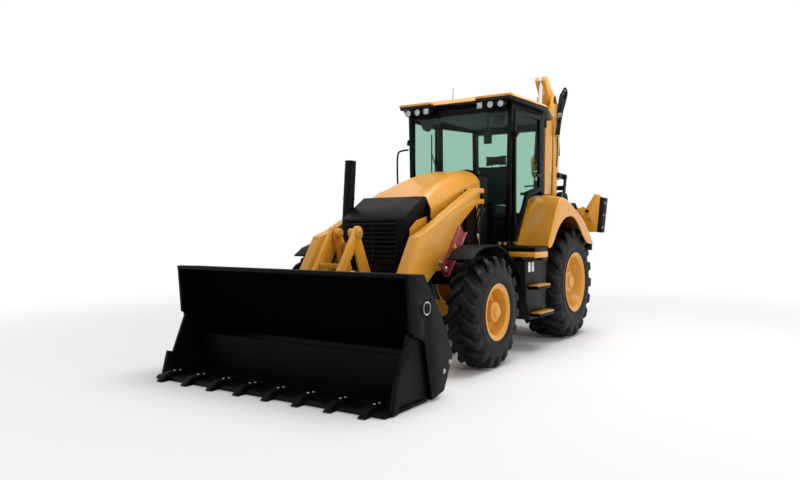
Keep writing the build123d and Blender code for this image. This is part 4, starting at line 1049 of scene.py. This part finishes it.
# Roof: a thin yellow cap over a black frame that carries the lamps.
roof = {"edge": 0.045}
cap = merged("cab_roof")
cap.data.materials.clear()
low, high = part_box("cab_roof")
split = low[2] + roof["edge"]
middle = [(low[0] + high[0]) / 2, (low[1] + high[1]) / 2]
frameBand = cap.copy()
frameBand.data = cap.data.copy()
scene.collection.objects.link(frameBand)
for piece, keepUpper in ((cap, True), (frameBand, False)):
    choose(piece)
    bpy.ops.object.mode_set(mode="EDIT")
    bpy.ops.mesh.select_all(action="SELECT")
    bpy.ops.mesh.bisect(plane_co=(0, 0, split), plane_no=(0, 0, 1), use_fill=True,
                        clear_inner=keepUpper, clear_outer=not keepUpper)
    bpy.ops.object.mode_set(mode="OBJECT")
softened(cap, 0.014, 3, 30)
for point in frameBand.data.vertices:
    point.co.x = middle[0] + (point.co.x - middle[0]) * 0.994
    point.co.y = middle[1] + (point.co.y - middle[1]) * 0.988
softened(frameBand, 0.006, 2, 30)
place(cap, "roof_cap", "yellowPaint", "chassis", "cab_roof", slot="yellow_paint")
place(frameBand, "roof_frame", "blackPlastic", "chassis", slot="black_plastic")

# Inside: dash panel, rear sill, side consoles, floor mat and mirror.
inside = {"floor": 1.1, "sill": 1.43}
trimParts = [cube(mid(0.8, -0.5, inside["floor"]), mid(0.86, 0.44, 1.6), 0.02, 3),
             cube(mid(-0.5, -0.55, inside["floor"]), mid(-0.45, 0.55, inside["sill"]), 0.02, 3),
             cube(mid(-0.3, -0.62, inside["floor"]), mid(0.62, -0.46, 1.56), 0.03, 3),
             cube(mid(-0.45, 0.46, inside["floor"]), mid(0.05, 0.6, 1.5), 0.03, 3),
             cube(mid(-0.44, -0.45, inside["floor"]),
                  mid(0.8, 0.6, inside["floor"] + 0.012), 0.004)]
place(joined(trimParts), "cab_trim", "blackPlastic", "chassis", slot="black_plastic")
mirror = joined([cube(mid(0.78, 0.27, 2.26), mid(0.8, 0.37, 2.46), 0.008, 3),
                 rod(mid(0.79, 0.32, 2.45), mid(0.79, 0.32, 2.62), 0.008, 12)])
place(mirror, "cab_mirrors", "blackPlastic", "chassis", slot="black_plastic")
print("cab dressed")


# Backhoe and stabilisers: pins, hoses, tooth caps and fasteners.
hoe = {"foot": (-1.64, 0.95), "tip": (-1.96, 3.23), "boomBase": (-1.5, 1.25),
       "boomEye": (-1.6, 2.12), "stickBase": (-1.58, 2.29),
       "leverPin": (-2.21, 2.12), "stickEnd": (-2.12, 1.8), "lug": (-2.36, 1.79),
       "knee": (-2.45, 2.11), "bucketBase": (-2.345, 3.08), "teeth": 5, "pitch": 0.137}
for hand, side in sides:
    for point, y, radius, name, body in (
            (hoe["foot"], 0.158, 0.055, "boom_foot", "swing_post"),
            (hoe["boomBase"], 0.158, 0.038, "boom_base", "swing_post"),
            (hoe["tip"], 0.126, 0.058, "boom_tip", "boom"),
            (hoe["stickBase"], 0.085, 0.04, "stick_base", "boom"),
            (hoe["boomEye"], 0.085, 0.036, "boom_eye", "boom"),
            (hoe["stickEnd"], 0.172, 0.042, "stick_end", "hoe_bucket"),
            (hoe["lug"], 0.172, 0.036, "bucket_lug", "hoe_bucket"),
            (hoe["leverPin"], 0.105, 0.034, "lever_pin", "bucket_lever"),
            (hoe["knee"], 0.133, 0.034, "knee", "bucket_link"),
            (hoe["bucketBase"], 0.077, 0.034, "cylinder_base", "stick")):
        pinCap(point, hand * (y - 0.002), radius, hand, "blackPaint", name + "_cap_" + side,
               body, 0.008)

caps = []
for index in range(hoe["teeth"]):
    y = (index - (hoe["teeth"] - 1) / 2) * hoe["pitch"]
    caps.append(slab([(-2.05, 0.765), (-1.985, 0.845), (-1.925, 0.885), (-1.912, 0.872),
                      (-1.96, 0.815), (-2.03, 0.755)], y, 0.064, 0.006))
place(joined(caps), "hoe_tooth_caps", "castIron", "hoe_bucket")
ribs = [slab([(-2.12, 1.6), (-2.42, 1.695), (-2.62, 1.56), (-2.782, 1.3), (-2.77, 1.1),
              (-2.74, 1.1), (-2.75, 1.29), (-2.6, 1.53), (-2.41, 1.66), (-2.12, 1.57)],
             hand * 0.287, 0.014, 0.003) for hand in (-1, 1)]
wear = [slab([(-2.79, 1.12), (-2.8, 1.0), (-2.57, 0.797), (-2.3, 0.776), (-2.3, 0.77),
              (-2.575, 0.79), (-2.808, 0.995), (-2.8, 1.12)], y, 0.05, 0.001)
        for y in (-0.2, -0.07, 0.07, 0.2)]
place(joined(ribs + wear), "hoe_bucket_strips", "bucketPaint", "hoe_bucket")

# Hoses clipped at both ends: along the boom, round its nose and along the stick.
boomLines, clamps = [], []
for index, y in enumerate((-0.072, -0.045, -0.018, 0.018, 0.045, 0.072)):
    lift = 0.01 * (index % 2)
    boomLines.append(hose([mid(-1.9 - lift, y, 1.55), mid(-1.945 - lift, y, 1.95),
                           mid(-1.965 - lift, y, 2.3), mid(-1.985 - lift, y, 2.7),
                           mid(-2.0 - lift, y, 2.86)], 0.0105))
for x, z in ((-1.93, 1.75), (-1.958, 2.2), (-1.975, 2.6)):
    clamps.append(cube(mid(x - 0.026, -0.088, z - 0.02), mid(x + 0.012, 0.088, z + 0.02),
                       0.005))
place(joined(boomLines), "boom_hoses", "rubber", "boom", slot="rubber")
place(joined(clamps), "boom_hose_clamps", "blackPaint", "boom", slot="black_paint")
loops, fittings = [], []
for index, y in enumerate((0.1, 0.122, 0.144)):
    reach = 0.05 * index
    loops.append(hose([mid(-2.08, y, 2.72), mid(-2.16, y, 2.9 + reach), mid(-2.38, y, 3.2 + reach),
                       mid(-2.46, y, 3.36 + reach * 0.8), mid(-2.32, y, 3.42 + reach * 0.8),
                       mid(-2.2, y, 3.24 + reach * 0.5), mid(-2.18, y * 0.95, 3.02)], 0.0155))
    fittings += [rod(mid(-2.08, y, 2.7), mid(-2.1, y, 2.76), 0.016, 6, 0.002),
                 rod(mid(-2.18, y * 0.95, 3.0), mid(-2.18, y * 0.95, 3.07), 0.016, 6, 0.002)]
place(joined(loops), "stick_hose_loops", "rubber", "stick", slot="rubber")
place(joined(fittings), "stick_hose_fittings", "zinc", "stick")
stickPipes = [hose([mid(-2.18, y, 3.0), mid(-2.2, y, 2.7), mid(-2.18, y, 2.4),
                    mid(-2.15, y, 2.25)], 0.008) for y in (0.085, -0.085)]
place(joined(stickPipes), "stick_pipes", "blackPaint", "stick", slot="black_paint")
bundle = [hose([mid(-1.12, y, 0.98), mid(-1.22, y, 1.22), mid(-1.36, y, 1.3),
                mid(-1.47, y * 0.8, 1.16), mid(-1.52, y * 0.7, 0.98)], 0.0115)
          for y in (-0.09, -0.06, -0.03, 0.03, 0.06, 0.09)]
place(joined(bundle), "swing_hoses", "rubber", "chassis", slot="rubber")


def slabAcross(corners, x, thick):   # a plate across the machine, its corners as (y, z)
    plate = slab([(z, y) for y, z in corners], 0, thick, 0.002)
    turn = Matrix(((0, 1, 0, x + rearAxleX), (0, 0, 1, 0), (1, 0, 0, 0), (0, 0, 0, 1)))
    plate.data.transform(turn @ Matrix.Translation((-rearAxleX, 0, 0)))
    return plate


stab = {"x": -0.97, "foot": (0.43, 0.64), "pad": (0.985, 1.44), "pinR": 0.05, "footR": 0.044,
        "bosses": ((0.87, 1.47), (1.0, 1.42)), "bossR": 0.03,
        "holes": ((0.95, 1.52), (0.93, 1.32)), "holeR": 0.022,
        "web": ((0.8, 1.42), (0.83, 1.56), (0.9, 1.58), (1.03, 1.5), (1.04, 1.3), (0.9, 1.2))}
for hand, side in sides:
    leg = "stabiliser_" + side
    x = stab["x"]
    pinPlace = mid(x - 0.079, hand * stab["pad"][0], stab["pad"][1])
    ring = rod(pinPlace, (pinPlace[0] - 0.008, pinPlace[1], pinPlace[2]), stab["pinR"], 28,
               0.003)
    place(ring, "pad_pin_" + side, "zinc", leg)
    bosses = [rod(mid(x + 0.06, hand * y, z), mid(x + 0.084, hand * y, z), stab["bossR"], 24,
                  0.004) for y, z in stab["bosses"]]
    place(joined(bosses), "leg_bosses_" + side, "zinc", leg)
    web = slabAcross([(hand * y, z) for y, z in stab["web"]], x + 0.064, 0.012)
    place(web, "leg_web_" + side, "yellowPaint", leg, slot="yellow_paint")
    # dark discs at the web's holes: painted shade standing for the dark inside of each hole, given
    # the rubber finish
    holes = [rod(mid(x + 0.07, hand * y, z), mid(x + 0.0815, hand * y, z), stab["holeR"], 24)
             for y, z in stab["holes"]]
    place(joined(holes), "leg_holes_" + side, "rubber", leg)
    footRing = rod(mid(stab["x"] - 0.045, hand * stab["foot"][0], stab["foot"][1]),
                   mid(stab["x"] - 0.056, hand * stab["foot"][0], stab["foot"][1]), stab["footR"],
                   28, 0.003)
    place(footRing, "leg_pin_" + side, "zinc", "chassis")
    padBolts = []
    for x in (-1.02, -0.92):
        for share in (0.15, 0.5, 0.85):
            y = hand * (1.135 + (1.178 - 1.135) * share + 0.0005)
            padBolts.append(mid(x, y, 1.238 + (1.69 - 1.238) * share))
    place(boltHeads(padBolts, 0.012, 0.005, (0, hand, -0.095)), "pad_bolts_" + side, "zinc",
          "stabiliser_" + side)
    line = hose([mid(-0.9, hand * 0.27, 1.12), mid(-0.86, hand * 0.38, 1.26),
                 mid(-0.87, hand * 0.56, 1.36), mid(-0.9, hand * 0.62, 1.4)], 0.009)
    place(line, "stabiliser_hose_" + side, "rubber", "stabiliser_barrel_" + side,
          slot="rubber")
    lampBox = sideBlock((-0.57, -0.52), (0.94, 1.12), (1.02, 1.1), hand, 0.006)
    place(lampBox, "tail_lamp_box_" + side, "blackPlastic", "chassis", slot="black_plastic")
    red = sideBlock((-0.577, -0.568), (0.95, 1.03), (1.03, 1.09), hand, 0.004)
    place(red, "tail_lamp_" + side, "red", "chassis", slot="lamp")
    turn = sideBlock((-0.577, -0.568), (1.04, 1.11), (1.03, 1.09), hand, 0.004)
    place(turn, "tail_signal_" + side, "amber", "chassis", slot="lamp")

# Exhaust: a turned mouth, two clamp bands and a foot block on the stack.
stackFoot, stackMouth = Vector(mid(2.478, -0.428, 1.16)), Vector(mid(2.413, -0.428, 1.962))
axis = (stackMouth - stackFoot).normalized()
tube = rod(stackFoot, stackMouth, 0.056, 40, 0.003)
choose(tube)
for face in tube.data.polygons:
    face.select = face.normal.dot(axis) > 0.9
bpy.ops.object.mode_set(mode="EDIT")
bpy.ops.mesh.select_mode(type="FACE")
bpy.ops.object.mode_set(mode="OBJECT")
for edge in tube.data.edges:
    edge.select = False
for face in tube.data.polygons:
    face.select = face.normal.dot(axis) > 0.99
bpy.ops.object.mode_set(mode="EDIT")
bpy.ops.mesh.inset(thickness=0.006)
bpy.ops.mesh.extrude_region_move(TRANSFORM_OT_translate={"value": -axis * 0.12})
bpy.ops.object.mode_set(mode="OBJECT")
bands = [rod(stackFoot + axis * at, stackFoot + axis * (at + 0.02), 0.0585, 40, 0.003)
         for at in (0.06, 0.42)]
foot = cube(mid(2.405, -0.488, 1.102), mid(2.535, -0.353, 1.178), 0.008)
place(joined([smooth(tube), foot] + bands), "exhaust_tube", "blackPaint", "chassis",
      "exhaust_stack", slot="black_paint")
print("backhoe dressed")


# Remaining nodes keep their own mesh and get a finish.
for name, obj in nodes.items():
    if not obj.data.materials or obj.data.materials[0] not in finishes.values():
        finished(name, nodeFinish.get(name, "blackPaint"))

# Floor, light and camera.
stage = {"floorHalf": 60, "floorTint": (0.84, 0.84, 0.84, 1), "sky": 0.36,
         "camera": (7.872, 3.674, 1.253), "yaw": 212.745, "pitch": -0.72, "lens": 30.376}
deselect()
bpy.ops.mesh.primitive_plane_add(size=2 * stage["floorHalf"], location=(0, 0, 0))
floor = active()
floor.name = floor.data.name = "studio_floor"
ground = Finish("studio floor", Roughness=0.75)
ground.surface(Base_Color=stage["floorTint"])
pale = ground.node("Emission", None, {"Color": (1, 1, 1, 1), "Strength": 1.0})
reach = ground.node("VectorMath", {"operation": "LENGTH"}, {0: ground.place}, "Value")
ramp = ground.between(reach, 1.5, 8.5, 0, 1)
away = ramp * ramp * (3 - 2 * ramp)
blendIn = ground.node("MixShader", None, {0: away, 1: Value(ground, ground.shader.outputs[0]),
                                          2: pale})
ground.tree.links.new(blendIn.socket,
                      ground.tree.nodes["Material Output"].inputs["Surface"])
floor.data.materials.append(ground.material)

world = bpy.data.worlds.new("studio")
scene.world = world
world.use_nodes = True
tree = world.node_tree
backdrop = tree.nodes["Background"]
backdrop.inputs["Color"].default_value = (1, 1, 1, 1)
ray = tree.nodes.new("ShaderNodeLightPath")
seen = tree.nodes.new("ShaderNodeMath")
seen.operation = "MAXIMUM"
seenToo = tree.nodes.new("ShaderNodeMath")
seenToo.operation = "MAXIMUM"
strength = tree.nodes.new("ShaderNodeMapRange")
strength.inputs["To Min"].default_value = stage["sky"]
strength.inputs["To Max"].default_value = 1.0
tree.links.new(ray.outputs["Is Camera Ray"], seen.inputs[0])
tree.links.new(ray.outputs["Is Transmission Ray"], seen.inputs[1])
tree.links.new(seen.outputs[0], seenToo.inputs[0])
tree.links.new(ray.outputs["Is Glossy Ray"], seenToo.inputs[1])
tree.links.new(seenToo.outputs[0], strength.inputs["Value"])
tree.links.new(strength.outputs[0], backdrop.inputs["Strength"])


def lamp(name, spot, aim, size, watts):
    data = bpy.data.lights.new(name, "AREA")
    data.shape, data.size, data.size_y = "RECTANGLE", size[0], size[1]
    data.energy = watts
    obj = bpy.data.objects.new(name, data)
    scene.collection.objects.link(obj)
    obj.location = spot
    obj.rotation_euler = (Vector(aim) - Vector(spot)).to_track_quat("-Z", "Y").to_euler()


lamp("overhead_light", (-1.0, 1.5, 8.5), (0, 0, 1), (6, 5), 640)
lamp("left_light", (2.5, 9, 4.5), (0, 0, 1.2), (5, 4), 205)
lamp("front_light", (9, -4, 5), (0.5, 0, 1), (5, 4), 100)

camera = bpy.data.objects.new("photo_camera", bpy.data.cameras.new("photo_camera"))
scene.collection.objects.link(camera)
camera.data.sensor_width, camera.data.sensor_fit = 36, "HORIZONTAL"
camera.data.lens = stage["lens"]
camera.location = mid(*stage["camera"])
yaw, pitch = math.radians(stage["yaw"]), math.radians(stage["pitch"])
facing = Vector((math.cos(pitch) * math.cos(yaw), math.cos(pitch) * math.sin(yaw),
                 math.sin(pitch)))
camera.rotation_euler = facing.to_track_quat("-Z", "Y").to_euler()
camera.data.clip_end = 300
scene.camera = camera
scene.view_settings.view_transform = "Standard"

print("scene ready")
